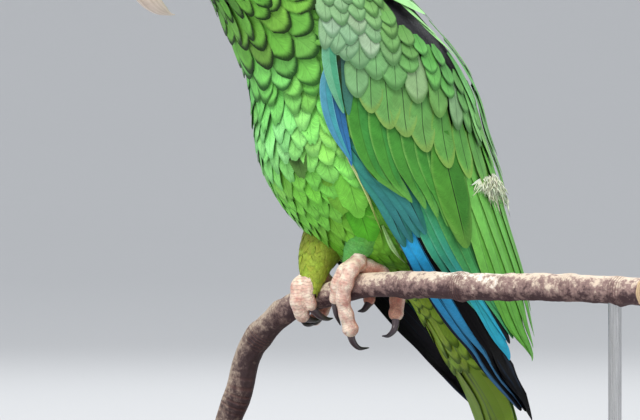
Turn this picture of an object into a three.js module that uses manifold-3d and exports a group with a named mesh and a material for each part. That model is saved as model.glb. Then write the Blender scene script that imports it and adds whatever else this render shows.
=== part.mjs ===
// A life-size Puerto Rican amazon (Amazona vittata) perched on a cut branch, on a display stand.
// Millimetres, +Z up. The origin is the middle of the stand's underside and the bird faces -Y.
// The bird is modelled about the point of the branch between its feet, then lifted onto the stand.
import * as THREE from "three";
import { mergeVertices } from "three/addons/utils/BufferGeometryUtils.js";
import Module from "manifold-3d";

const wasm = await Module();
wasm.setup();

// ---- driving dimensions ----
const GAP = 0.35; // clearance between neighbouring solids
const SIDES = 20; // points round a body section
const RINGS_PER_STATION = 2; // of the body's profile
const STATION_PITCH = 12; // about how far apart the profile's stations lie
const POINTS_ROUND = { bill: 12, thigh: 12, branch: 12, toe: 8, claw: 6, rod: 16 };

const STAND = { along: 116, across: 66, thick: 11, bevel: 2, rod: 2.6 }; // half axes of the oval base, mm
const PERCH_HEIGHT = 108; // the branch's axis above the table
const FEET_FROM_BASE = [-38.5, -17]; // from the middle of the base to the point between the feet

const HEAD_PITCH = 48; // degrees that the head points below the horizon
const HEAD_CENTRE = [-67.8, 142.5]; // y, z of the skull's middle

// Profile of head, neck, trunk and tail: a point on the back, one on the belly (y, z) and the half width.
const PROFILE = [
  { back: [-85, 134.4], belly: [-69.1, 123.5], half: 8 }, // base of the bill
  { back: [-86.5, 143.1], belly: [-62, 125.2], half: 13 },
  { back: [-84, 154], belly: [-58, 123.8], half: 16.5 }, // eyes
  { back: [-78, 162.5], belly: [-56.2, 121.5], half: 18.5 },
  { back: [-69.5, 167], belly: [-55, 119], half: 19.5 }, // back of the crown
  { back: [-59, 166], belly: [-53.5, 116.2], half: 20.5 },
  { back: [-45, 160], belly: [-50.5, 113.3], half: 22.5 }, // neck
  { back: [-27, 150.5], belly: [-46.6, 108], half: 26.5 },
  { back: [-8.5, 139.8], belly: [-42.8, 101.3], half: 31 },
  { back: [10, 128.5], belly: [-38.5, 93], half: 35 }, // shoulders
  { back: [26.5, 116.5], belly: [-33, 83], half: 38 },
  { back: [41.5, 103], belly: [-30, 71.5], half: 40 },
  { back: [53, 86], belly: [-29.8, 59], half: 40.5 },
  { back: [62, 68], belly: [-27, 46.5], half: 40 }, // belly
  { back: [68, 50], belly: [-19.5, 33.5], half: 37.5 },
  { back: [71.5, 34], belly: [-9.5, 22], half: 33 },
  { back: [73, 19.5], belly: [3, 11], half: 27.5 },
  { back: [73, 6.5], belly: [21.5, 2.5], half: 23.5 }, // vent
  { back: [71.5, -5], belly: [37.5, -6.5], half: 20.5 }, // root of the tail
  { back: [71.5, -17.5], belly: [48, -17.5], half: 19 },
  { back: [74.5, -32], belly: [59.5, -33], half: 18.5 }, // end of the undertail coverts
  { back: [78.5, -48], belly: [72, -49.5], half: 19 },
  { back: [83, -64.5], belly: [79, -65.5], half: 18.6 },
  { back: [87, -79], belly: [85, -79.8], half: 15 },
  { back: [89.3, -86.4], belly: [88, -87], half: 9 }, // tip of the tail
];
// Where the profile is parted, as indices into it.
const PARTS = { head: [0, 5.5], neck: [5.5, 8.5], trunk: [8.5, 18], tail: [18, 24] };

// Left wing: ribs from the leading edge to the trailing edge (x, y, z), how far out the middle of the rib
// stands, and its thickness.
const WING = [
  { lead: [31, -19.5, 121], trail: [18, 12, 125.5], out: 33, thick: 6 }, // shoulder
  { lead: [35, -21, 111], trail: [16, 27, 117], out: 39.5, thick: 8 },
  { lead: [35.5, -21.5, 100], trail: [14.5, 41.5, 104.5], out: 43.5, thick: 9 },
  { lead: [32, -22, 88], trail: [13, 54.5, 91.5], out: 45.5, thick: 9 }, // wrist
  { lead: [30, -21, 75], trail: [12, 64, 76.5], out: 46, thick: 8.5 },
  { lead: [29.5, -17.5, 61.8], trail: [12, 68.5, 60], out: 46.5, thick: 7.5 },
  { lead: [33, -10, 48.3], trail: [12, 74.5, 43], out: 46, thick: 7 },
  { lead: [35.5, -0.5, 36], trail: [12, 79.5, 25], out: 44.5, thick: 6.5 },
  { lead: [35, 11.2, 16.5], trail: [12, 86, 6], out: 41, thick: 6 },
  { lead: [32.5, 20.4, 5.8], trail: [12, 89.5, -7], out: 37, thick: 5.5 },
  { lead: [29.5, 30, -4.1], trail: [12, 92, -19], out: 33, thick: 5 },
  { lead: [26, 43.7, -20], trail: [12, 92.5, -31], out: 28, thick: 4 }, // tertial tips
  { lead: [23, 53.8, -30], trail: [14, 83, -38], out: 23, thick: 3.2 },
  { lead: [19, 68, -43.8], trail: [15, 83.5, -47], out: 19, thick: 2.6 },
  { lead: [16.5, 80, -57.7], trail: [15.5, 85.5, -58.5], out: 16.4, thick: 1.8 }, // tip of the primaries
];

const WING_FACETS = { along: 18, across: 6 };

const EYE = { radius: 4.7, along: 6, up: 5.5, out: 12.2 }; // in the head's own axes

// Bill, in the head's axes (forward, up): a point on its upper edge, one on its lower edge, the half width.
const BILL_UPPER = [
  { top: [19.2, 6], under: [17.6, -5.5], half: 7.4 },
  { top: [25, 5], under: [22, -6.8], half: 7 },
  { top: [30.4, 1.6], under: [25.8, -8.2], half: 6.1 },
  { top: [33.8, -4.4], under: [27.2, -10], half: 4.9 },
  { top: [34.3, -11], under: [27.6, -13.6], half: 3.7 },
  { top: [32.6, -16.6], under: [27.9, -17.2], half: 2.3 },
  { top: [29, -21], under: [28.2, -20.4], half: 0.6 },
];
const BILL_LOWER = [
  { top: [16, -6.9], under: [15.2, -14.4], half: 6.4 },
  { top: [20, -7.9], under: [19.6, -17.4], half: 6.6 },
  { top: [24, -9.4], under: [24.2, -17], half: 5.4 },
  { top: [26.4, -12], under: [26.8, -13.6], half: 2.6 },
];

// Branch: its heading from +X towards +Y, then how far along that heading and how high its axis runs.
const BRANCH_YAW = 24;
const BRANCH_RADIUS = 4.9;
const BRANCH = [
  [-57, -68], [-52.4, -57.1], [-46.7, -44.6], [-43, -32.1], [-36.5, -22.6], [-27, -14.5], [-14.4, -8.3],
  [0, -4.6], [10.3, -2.3], [20, -0.6], [34.7, -0.2], [54, -0.2], [82, -0.7], [110, -0.4], [152, -1.6],
];
const ROD_AT = [-56, 139]; // the rods' places along the branch

// Feet: where each stands along the branch. A toe's points are given from the branch's axis: out to the
// front, up, and along the branch away from the other foot. Toes 2 and 3 point forward, 1 and 4 back.
const FEET = {
  left: { at: 12.2, side: 1 },
  right: { at: -6, side: -1 },
};
const HALLUX = {
  path: [[-2, 9.2, -0.5], [-7, 6, 0.4], [-9.2, 0.3, 1.6], [-7.2, -5.5, 2.8]],
  girth: [3.3, 3, 2.8, 2.3],
  claw: [[-6.5, -6.8, 3], [-3, -9.3, 3.2], [0.5, -9.8, 3]],
};
const TOES = {
  // The left foot's third toe hangs down past the branch and its fourth spreads along it.
  left: {
    toe_1: HALLUX,
    toe_2: {
      path: [[2, 10, 0], [7, 7.2, -1.4], [8.8, 2.3, -2.6], [7.8, -3.6, -4.2]],
      girth: [3.4, 3.1, 2.8, 2.3],
      claw: [[7.6, -4.8, -4.4], [6.5, -10, -4.3], [4, -14.3, -4]],
    },
    toe_3: {
      path: [
        [1.5, 9.6, 1.9], [7, 6, 2.7], [8.9, 0.8, 1.6], [8.3, -5.2, 0.6], [6, -12.4, 1.6], [4.8, -17, 2.4],
      ],
      girth: [3.8, 3.6, 3.4, 3.2, 3.1, 3.2],
      claw: [[4.3, -18.3, 2], [2.5, -22, 2.1], [-1.5, -24.6, 2.3], [-8, -24.6, 2.1]],
    },
    toe_4: {
      path: [
        [-2, 9, 2], [-6.6, 5.6, 7], [-8.8, 1.2, 11.5], [-9.6, -3, 14.6], [-8.6, -8, 15.9], [-7, -12, 16.5],
      ],
      girth: [3.7, 3.5, 3.3, 3.1, 3.1, 2.9],
      claw: [[-6.7, -13.4, 16.8], [-5, -17.8, 17.3], [-1, -20.4, 17.3], [3, -20.5, 17.1]],
    },
  },
  right: {
    toe_1: HALLUX,
    toe_2: {
      path: [[2, 10, 0], [7, 7.2, -1.4], [8.6, 2, -2], [7.6, -3.6, -2.6]],
      girth: [3.4, 3.1, 2.8, 2.5],
      claw: [[6.6, -5, -2.8], [2.4, -8, -3.2], [-2.4, -9.4, -3.4], [-6, -9.2, -3.4]],
    },
    toe_3: {
      path: [[2, 9.4, 1.9], [8, 5.6, 2.4], [9.6, 0.8, 2.2], [9, -3.6, 2], [7.2, -6.6, 1.9]],
      girth: [3.8, 3.7, 3.5, 3.3, 2.9],
      claw: [[6.2, -7, 1.9], [2.8, -8.2, 1.7], [-1, -8.7, 1.3], [-4, -8.5, 0.9]],
    },
    toe_4: {
      path: [[-1.5, 9.6, 2.5], [-6, 7.6, 3.5], [-9.4, 2, 5], [-9.2, -4, 6], [-6.4, -7.5, 6.4]],
      girth: [3.7, 3.5, 3.2, 3, 2.5],
      claw: [[-5.4, -8, 6.4], [-2.4, -9, 6.2], [0.8, -9.2, 5.8], [3.6, -8.4, 5.4]],
    },
  },
};
const CLAW_ROOT = 1.75; // girth of a claw where it leaves the toe
// From the middle of the foot up to the ankle, given as for the toes, with the girths.
const SHANK = { path: [[0.5, 8.6, 1], [0.6, 11, 1.6], [0, 15.5, 2.2]], girth: [4.6, 4.4, 4] };
// Feathered thighs, from inside the belly down to the ankle (x, y, z) with their girths.
const THIGHS = {
  left: {
    path: [[16, 16, 40], [15, 12, 28], [13.4, 7.6, 17.5], [11.8, 5.6, 12.5]],
    girth: [13, 11.5, 7.5, 5.2],
  },
  right: {
    path: [[-13, 16, 38], [-9.5, 8, 24], [-4.6, -3, 10], [-0.6, -7.6, -2.5]],
    girth: [14, 12, 8, 3.6],
  },
};

// ---- tools ----
const radians = THREE.MathUtils.degToRad;

// A closed surface through rings of points, capped at both ends by a fan to the middle of the end ring.
function skinOf(rings) {
  const sides = rings[0].length;
  const middle = (ring) => ring.reduce((sum, p) => sum.add(p), new THREE.Vector3()).divideScalar(sides);
  const points = [...rings.flat(), middle(rings[0]), middle(rings.at(-1))];
  const faces = [];
  const at = (ring, i) => ring * sides + (i % sides);
  for (let ring = 0; ring + 1 < rings.length; ring++)
    for (let i = 0; i < sides; i++) {
      faces.push(at(ring, i), at(ring, i + 1), at(ring + 1, i + 1));
      faces.push(at(ring, i), at(ring + 1, i + 1), at(ring + 1, i));
    }
  const last = rings.length - 1;
  for (let i = 0; i < sides; i++) {
    faces.push(at(0, i + 1), at(0, i), points.length - 2);
    faces.push(at(last, i), at(last, i + 1), points.length - 1);
  }
  const made = new THREE.BufferGeometry().setFromPoints(points).setIndex(faces);
  return volumeOf(made) < 0 ? turnedOut(made) : made;
}

function volumeOf(geometry) {
  const p = geometry.getAttribute("position");
  const corner = (i) => new THREE.Vector3().fromBufferAttribute(p, geometry.index.getX(i));
  let sum = 0;
  for (let i = 0; i < geometry.index.count; i += 3) {
    const normal = corner(i + 1).cross(corner(i + 2));
    sum += corner(i).dot(normal);
  }
  return sum / 6;
}

function turnedOut(geometry) {
  const index = Array.from(geometry.index.array);
  for (let i = 0; i < index.length; i += 3) [index[i + 1], index[i + 2]] = [index[i + 2], index[i + 1]];
  return geometry.setIndex(index);
}

// A smooth run through numbers listed at whole steps, read at any step between.
function runThrough(values) {
  const points = values.map((v) => new THREE.Vector3(...v));
  const curve = new THREE.CatmullRomCurve3(points, false, "catmullrom", 0.5);
  return (step) => curve.getPoint(step / (values.length - 1));
}

// Evenly spaced steps from one station to another.
function steps(from, to, count) {
  return Array.from({ length: count + 1 }, (_, i) => from + ((to - from) * i) / count);
}

// An ellipse: one axis runs from a lower point to an upper point, and the other is level.
function section(upper, lower, half, grow, sides = SIDES) {
  const middle = upper.clone().add(lower).multiplyScalar(0.5);
  const rise = upper.clone().sub(lower).multiplyScalar(0.5);
  rise.setLength(rise.length() + grow);
  return Array.from({ length: sides }, (_, i) => {
    const turn = (2 * Math.PI * i) / sides;
    const across = new THREE.Vector3((half + grow) * Math.cos(turn), 0, 0);
    return middle.clone().addScaledVector(rise, Math.sin(turn)).add(across);
  });
}

// A round tube along points with a girth at each, with rounded or pointed ends.
function tubeOf(path, girths, options) {
  const { sides = POINTS_ROUND.toe, count = 8, grow = 0, pointed = false } = options;
  const curve = new THREE.CatmullRomCurve3(path.map((p) => new THREE.Vector3(...p)));
  const girth = runThrough(girths.map((g) => [g, 0, 0]));
  const frames = curve.computeFrenetFrames(count, false);
  const rings = [];
  const ring = (i, scale, shift) => {
    const centre = curve.getPointAt(i / count).addScaledVector(frames.tangents[i], shift);
    const radius = (girth(((girths.length - 1) * i) / count).x + grow) * scale;
    return Array.from({ length: sides }, (_, k) => {
      const turn = (2 * Math.PI * k) / sides;
      return centre
        .clone()
        .addScaledVector(frames.normals[i], radius * Math.cos(turn))
        .addScaledVector(frames.binormals[i], radius * Math.sin(turn));
    });
  };
  const endGirth = girths.at(-1) + grow;
  rings.push(ring(0, 0.6, -0.5 * (girths[0] + grow)));
  for (let i = 0; i <= count; i++) rings.push(ring(i, 1, 0));
  if (!pointed) rings.push(ring(count, 0.8, 0.5 * endGirth), ring(count, 0.35, 0.85 * endGirth));
  return skinOf(rings);
}

// A geometry with only its positions, shared between its triangles.
function welded(geometry) {
  const bare = new THREE.BufferGeometry().setAttribute("position", geometry.getAttribute("position"));
  return mergeVertices(geometry.index ? bare.setIndex(geometry.index) : bare, 1e-4);
}

// three.js geometry to a manifold-3d solid, and back.
function solidOf(geometry) {
  const { attributes, index } = welded(geometry);
  const mesh = new wasm.Mesh({
    numProp: 3,
    vertProperties: new Float32Array(attributes.position.array),
    triVerts: new Uint32Array(index.array),
  });
  return new wasm.Manifold(mesh);
}

function geometryOf(solid) {
  const mesh = solid.getMesh();
  return new THREE.BufferGeometry()
    .setAttribute("position", new THREE.BufferAttribute(new Float32Array(mesh.vertProperties), 3))
    .setIndex(new THREE.BufferAttribute(new Uint32Array(mesh.triVerts), 1));
}

// Cuts each cutter away and keeps the largest body that is left.
function carved(solid, ...cutters) {
  const left = cutters.reduce((rest, cutter) => rest.subtract(cutter), solid).decompose();
  return left.sort((a, b) => b.volume() - a.volume())[0];
}

// ---- body ----
const backAt = runThrough(PROFILE.map((s) => [0, ...s.back]));
const bellyAt = runThrough(PROFILE.map((s) => [0, ...s.belly]));
const halfAt = runThrough(PROFILE.map((s) => [s.half, 0, 0]));

function loft(from, to, grow = 0) {
  const rings = steps(from, to, Math.round((to - from) * RINGS_PER_STATION));
  return skinOf(rings.map((s) => section(backAt(s), bellyAt(s), halfAt(s).x, grow)));
}

// A part of the body, which starts a gap behind the part before it.
function bodyPart(name) {
  const [from, to] = PARTS[name];
  return loft(from ? from + GAP / STATION_PITCH : from, to);
}

// ---- head ----
const forward = new THREE.Vector3(0, -Math.cos(radians(HEAD_PITCH)), -Math.sin(radians(HEAD_PITCH)));
const upward = new THREE.Vector3(0, -Math.sin(radians(HEAD_PITCH)), Math.cos(radians(HEAD_PITCH)));
const inHead = (along, up, out = 0) =>
  new THREE.Vector3(out, ...HEAD_CENTRE).addScaledVector(forward, along).addScaledVector(upward, up);

function eyeball(side, grow = 0) {
  const centre = inHead(EYE.along, EYE.up, side * EYE.out);
  return welded(new THREE.SphereGeometry(EYE.radius + grow, 12, 8).translate(...centre));
}

function billPart(stations, grow = 0) {
  const top = runThrough(stations.map((s) => [...s.top, 0]));
  const under = runThrough(stations.map((s) => [...s.under, 0]));
  const half = runThrough(stations.map((s) => [s.half, 0, 0]));
  return skinOf(
    steps(0, stations.length - 1, (stations.length - 1) * 2).map((s) => {
      const upper = inHead(top(s).x, top(s).y);
      const lower = inHead(under(s).x, under(s).y);
      return section(upper, lower, half(s).x, grow, POINTS_ROUND.bill);
    }),
  );
}

// ---- wing ----
// A wing's shape: step along the ribs, share from the leading to the trailing edge, and the share of its
// thickness inward from the outer surface.
function wingSurface(side) {
  const lead = runThrough(WING.map((r) => r.lead));
  const trail = runThrough(WING.map((r) => r.trail));
  const out = runThrough(WING.map((r) => [r.out, r.thick, 0]));
  return (step, share, depth) => {
    const a = lead(step);
    const b = trail(step);
    const middle = a.clone().add(b).multiplyScalar(0.5);
    const handle = new THREE.Vector3(2 * out(step).x - middle.x, middle.y, middle.z);
    const rib = new THREE.QuadraticBezierCurve3(a, handle, b);
    const inward = new THREE.Vector3(-1, 0, 0).lerp(new THREE.Vector3(-0.35, -0.9, 0), share).normalize();
    const spot = rib.getPoint(share).addScaledVector(inward, depth * out(step).y);
    return new THREE.Vector3(side * spot.x, spot.y, spot.z);
  };
}

function wingBlank(side) {
  const surface = wingSurface(side);
  const rings = steps(0, WING.length - 1, WING_FACETS.along).map((step) => {
    const outer = steps(0, 1, WING_FACETS.across).map((share) => surface(step, share, 0));
    const inner = steps(1, 0, WING_FACETS.across).map((share) => surface(step, share, 1));
    return [...outer, ...inner];
  });
  return skinOf(rings);
}

// ---- branch and feet ----
const along = new THREE.Vector3(Math.cos(radians(BRANCH_YAW)), Math.sin(radians(BRANCH_YAW)), 0);
const toFront = new THREE.Vector3(along.y, -along.x, 0);
const onBranch = (front, up, at) =>
  new THREE.Vector3(0, 0, up).addScaledVector(toFront, front).addScaledVector(along, at);

// Height of the branch's axis at a place along it.
function axisHeight(at) {
  const next = Math.max(1, BRANCH.findIndex(([place]) => place > at));
  const [[place, height], [nextPlace, nextHeight]] = [BRANCH[next - 1], BRANCH[next]];
  return THREE.MathUtils.mapLinear(at, place, nextPlace, height, nextHeight);
}

function branch(grow = 0) {
  const path = BRANCH.map(([at, up]) => onBranch(0, up, at).toArray());
  return tubeOf(path, [BRANCH_RADIUS, BRANCH_RADIUS], { sides: POINTS_ROUND.branch, count: 24, grow });
}

// Points given from the branch's axis beside a foot, as points in space.
function besideFoot(points, foot) {
  return points.map(([front, up, out]) => {
    const at = foot.at + foot.side * out;
    return onBranch(front, up + axisHeight(at), at).toArray();
  });
}

function footSolid(foot, toes, grow = 0) {
  const limbs = [SHANK, ...Object.values(toes)];
  const tubes = limbs.map(({ path, girth }) => {
    const count = 2 * path.length - 3;
    return solidOf(tubeOf(besideFoot(path, foot), girth, { count, grow }));
  });
  return tubes.reduce((whole, tube) => whole.add(tube));
}

function clawSolid(points, foot) {
  const girth = [CLAW_ROOT, CLAW_ROOT * 0.8, 0.3];
  const shape = { sides: POINTS_ROUND.claw, count: 4, pointed: true };
  return solidOf(tubeOf(besideFoot(points, foot), girth, shape));
}

// ---- assembly ----
const bird = new THREE.Group();
bird.position.set(...FEET_FROM_BASE, PERCH_HEIGHT);
const object = new THREE.Group();
object.add(bird);

const paint = (color, roughness, metalness = 0) =>
  new THREE.MeshStandardMaterial({ color, roughness, metalness });
const PAINT = {
  crown: paint(0x3f8a2c, 0.7),
  breast: paint(0x4fa52f, 0.7),
  wing: paint(0x3f8f3a, 0.65),
  tail: paint(0x7fb13a, 0.65),
  thigh: paint(0x93a83a, 0.8),
  foot: paint(0xd09a86, 0.75),
  claw: paint(0x3b3740, 0.45),
  bill: paint(0xe2cfc0, 0.4),
  eye: paint(0x3a1c10, 0.08),
  bark: paint(0x9a7f6c, 0.9),
  wood: paint(0x4a3222, 0.5),
  steel: paint(0x8b8d90, 0.35, 0.9),
};
const SIDES_OF_BODY = { left: 1, right: -1 };

function add(parent, name, shape, material) {
  const mesh = new THREE.Mesh(shape.isBufferGeometry ? shape : geometryOf(shape), material);
  mesh.name = name;
  parent.add(mesh);
}

function addHead() {
  const billCutters = [BILL_UPPER, BILL_LOWER].map((stations) => solidOf(billPart(stations, GAP)));
  const eyeCutters = Object.values(SIDES_OF_BODY).map((side) => solidOf(eyeball(side, GAP)));
  add(bird, "head", carved(solidOf(bodyPart("head")), ...billCutters, ...eyeCutters), PAINT.crown);
  for (const [name, side] of Object.entries(SIDES_OF_BODY)) {
    add(bird, `eye_${name}`, eyeball(side), PAINT.eye);
  }
  add(bird, "bill_upper", billPart(BILL_UPPER), PAINT.bill);
  add(bird, "bill_lower", carved(solidOf(billPart(BILL_LOWER)), billCutters[0]), PAINT.bill);
}

// A leg is cut by the body and the branch, and each piece of it by the pieces above it.
function addLeg(name, foot, toes) {
  const { path, girth } = THIGHS[name];
  const thigh = (grow) => solidOf(tubeOf(path, girth, { sides: POINTS_ROUND.thigh, count: 6, grow }));
  add(bird, `thigh_${name}`, carved(thigh(0), bodyCutter, branchCutter), PAINT.thigh);
  const above = [thigh(GAP), bodyCutter, branchCutter];
  add(bird, `foot_${name}`, carved(footSolid(foot, toes), ...above), PAINT.foot);
  above.push(footSolid(foot, toes, GAP));
  for (const [toe, { claw }] of Object.entries(toes))
    add(bird, `claw_${toe.at(-1)}_${name}`, carved(clawSolid(claw, foot), ...above), PAINT.claw);
}

function addWing(name, side) {
  add(bird, `wing_${name}`, carved(solidOf(wingBlank(side)), bodyCutter), PAINT.wing);
}

function addStand() {
  const oval = new THREE.Shape();
  const turn = radians(BRANCH_YAW);
  oval.absellipse(0, 0, STAND.along - STAND.bevel, STAND.across - STAND.bevel, 0, 2 * Math.PI, false, turn);
  const plate = new THREE.ExtrudeGeometry(oval, {
    depth: STAND.thick - 2 * STAND.bevel,
    bevelThickness: STAND.bevel,
    bevelSize: STAND.bevel,
    bevelSegments: 1,
    curveSegments: 18,
  }).translate(0, 0, STAND.bevel);
  add(object, "stand_base", welded(plate), PAINT.wood);

  const cutter = branchCutter.translate([...FEET_FROM_BASE, PERCH_HEIGHT]);
  ROD_AT.forEach((at, i) => {
    const under = onBranch(0, 0, at);
    const low = STAND.thick + GAP;
    const top = PERCH_HEIGHT + axisHeight(at);
    const rod = new THREE.CylinderGeometry(STAND.rod, STAND.rod, top - low, POINTS_ROUND.rod)
      .rotateX(Math.PI / 2)
      .translate(under.x + FEET_FROM_BASE[0], under.y + FEET_FROM_BASE[1], (top + low) / 2);
    add(object, `stand_rod_${i + 1}`, carved(solidOf(welded(rod)), cutter), PAINT.steel);
  });
}

const bodyCutter = solidOf(loft(0, PROFILE.length - 1, GAP));
const branchCutter = solidOf(branch(GAP));

addHead();
add(bird, "neck", bodyPart("neck"), PAINT.breast);
add(bird, "trunk", bodyPart("trunk"), PAINT.breast);
add(bird, "tail", bodyPart("tail"), PAINT.tail);
for (const name of Object.keys(FEET)) addLeg(name, FEET[name], TOES[name]);
for (const [name, side] of Object.entries(SIDES_OF_BODY)) addWing(name, side);
add(bird, "perch", branch(), PAINT.bark);
addStand();

export default object;
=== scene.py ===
"""Looks of a life-size Puerto Rican amazon on a cut perch and a display stand.

The frame is in metres with +Z up. The bird faces -Y and its left side is +X. Lengths here are in
millimetres, and points are given from the branch between the feet, unless a comment says otherwise.
"""

import math

import bpy
import numpy as np
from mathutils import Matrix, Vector, noise
from mathutils.kdtree import KDTree


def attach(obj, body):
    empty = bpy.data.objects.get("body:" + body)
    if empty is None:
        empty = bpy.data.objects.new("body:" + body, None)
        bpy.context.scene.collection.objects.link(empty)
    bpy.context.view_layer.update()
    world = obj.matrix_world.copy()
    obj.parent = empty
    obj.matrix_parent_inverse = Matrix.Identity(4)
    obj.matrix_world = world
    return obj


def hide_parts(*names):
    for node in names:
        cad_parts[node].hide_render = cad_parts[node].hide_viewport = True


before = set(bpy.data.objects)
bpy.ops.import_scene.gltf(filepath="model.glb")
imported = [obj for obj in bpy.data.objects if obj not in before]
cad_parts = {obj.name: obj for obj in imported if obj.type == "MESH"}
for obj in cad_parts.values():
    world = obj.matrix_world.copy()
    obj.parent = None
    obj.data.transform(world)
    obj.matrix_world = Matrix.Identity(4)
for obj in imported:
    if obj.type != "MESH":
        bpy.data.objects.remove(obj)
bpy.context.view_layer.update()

# ---- driving values, in millimetres ----
MM = 0.001
FEET = np.array([-38.5, -17.0, 108.0])  # the point of the branch between the feet, from the origin
RANDOM = np.random.default_rng(11)
FULL_TURN = 2 * np.pi

# Body: a point on the back, a point on the belly (y, z) and the half width, as in the solids.
PROFILE = [
    ((-85, 134.4), (-69.1, 123.5), 8),  # base of the bill
    ((-86.5, 143.1), (-62, 125.2), 13),
    ((-84, 154), (-58, 123.8), 16.5),  # eyes
    ((-78, 162.5), (-56.2, 121.5), 18.5),
    ((-69.5, 167), (-55, 119), 19.5),  # back of the crown
    ((-59, 166), (-53.5, 116.2), 20.5),
    ((-45, 160), (-50.5, 113.3), 22.5),  # neck
    ((-27, 150.5), (-46.6, 108), 26.5),
    ((-8.5, 139.8), (-42.8, 101.3), 31),
    ((10, 128.5), (-38.5, 93), 35),  # shoulders
    ((26.5, 116.5), (-33, 83), 38),
    ((41.5, 103), (-30, 71.5), 40),
    ((53, 86), (-29.8, 59), 40.5),
    ((62, 68), (-27, 46.5), 40),  # belly
    ((68, 50), (-19.5, 33.5), 37.5),
    ((71.5, 34), (-9.5, 22), 33),
    ((73, 19.5), (3, 11), 27.5),
    ((73, 6.5), (21.5, 2.5), 23.5),  # vent
    ((71.5, -5), (37.5, -6.5), 20.5),  # root of the tail
    ((71.5, -17.5), (48, -17.5), 19),
    ((74.5, -32), (59.5, -33), 18.5),  # end of the undertail coverts
    ((78.5, -48), (72, -49.5), 19),
    ((83, -64.5), (79, -65.5), 18.6),
    ((87, -79), (85, -79.8), 15),
    ((89.3, -86.4), (88, -87), 9),  # tip of the tail
]

# Left wing: leading edge, trailing edge (x, y, z), how far out the middle stands, thickness.
WING = [
    ((31, -19.5, 121), (18, 12, 125.5), 33, 6),  # shoulder
    ((35, -21, 111), (16, 27, 117), 39.5, 8),
    ((35.5, -21.5, 100), (14.5, 41.5, 104.5), 43.5, 9),
    ((32, -22, 88), (13, 54.5, 91.5), 45.5, 9),  # wrist
    ((30, -21, 75), (12, 64, 76.5), 46, 8.5),
    ((29.5, -17.5, 61.8), (12, 68.5, 60), 46.5, 7.5),
    ((33, -10, 48.3), (12, 74.5, 43), 46, 7),
    ((35.5, -0.5, 36), (12, 79.5, 25), 44.5, 6.5),
    ((35, 11.2, 16.5), (12, 86, 6), 41, 6),
    ((32.5, 20.4, 5.8), (12, 89.5, -7), 37, 5.5),
    ((29.5, 30, -4.1), (12, 92, -19), 33, 5),
    ((26, 43.7, -20), (12, 92.5, -31), 28, 4),  # tertial tips
    ((23, 53.8, -30), (14, 83, -38), 23, 3.2),
    ((19, 68, -43.8), (15, 83.5, -47), 19, 2.6),
    ((16.5, 80, -57.7), (15.5, 85.5, -58.5), 16.4, 1.8),  # tip of the primaries
]

HEAD_PITCH = math.radians(48)  # how far the bill points down
HEAD_CENTRE = np.array([0, -67.8, 142.5])
EYE = dict(radius=4.7, along=6, up=5.5, out=12.2)  # the middle is in the head's axes

BRANCH_YAW = math.radians(24)
BRANCH_RADIUS = 4.9
BRANCH = [  # the axis: places along the branch and heights
    (-58.7, -72), (-52.4, -57.1), (-46.7, -44.6), (-43, -32.1), (-36.5, -22.6), (-27, -14.5), (-14.4, -8.3),
    (0, -4.6), (10.3, -2.3), (20, -0.6), (34.7, -0.2), (54, -0.2), (82, -0.7), (110, -0.4), (152, -1.6),
]

BILL_UPPER = [  # top and underside (along, up in the head's axes) and half width
    ((19.2, 6), (17.6, -5.5), 7.4), ((25, 5), (22, -6.8), 7), ((30.4, 1.6), (25.8, -8.2), 6.1),
    ((33.8, -4.4), (27.2, -10), 4.9), ((34.3, -11), (27.6, -13.6), 3.7), ((32.6, -16.6), (27.9, -17.2), 2.3),
    ((29.3, -20.9), (28.1, -20.3), 0.9), ((27.4, -22.6), (27.2, -22.3), 0.15),
]
BILL_LOWER = [
    ((11, -7), (11, -12.2), 5.2), ((15.5, -5), (15.2, -13.6), 6.4), ((20, -5.4), (19.6, -14.8), 6.4),
    ((23.6, -6.8), (23.4, -14.7), 5.5), ((25.8, -9), (26, -13.6), 3.8), ((26.8, -11), (27, -12.4), 1.5),
]
CERE = (  # the fleshy roll over the base of the bill, from gape to gape, and its girth
    [(16.0, -6.6, 6.6), (16.8, -3, 7.5), (17.3, 1.2, 7.2), (17.7, 4.5, 5.1), (18, 5.7, 2.5), (18.1, 6.0, 0)],
    [0.4, 0.6, 0.75, 1.15, 1.45, 1.5],
)

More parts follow.
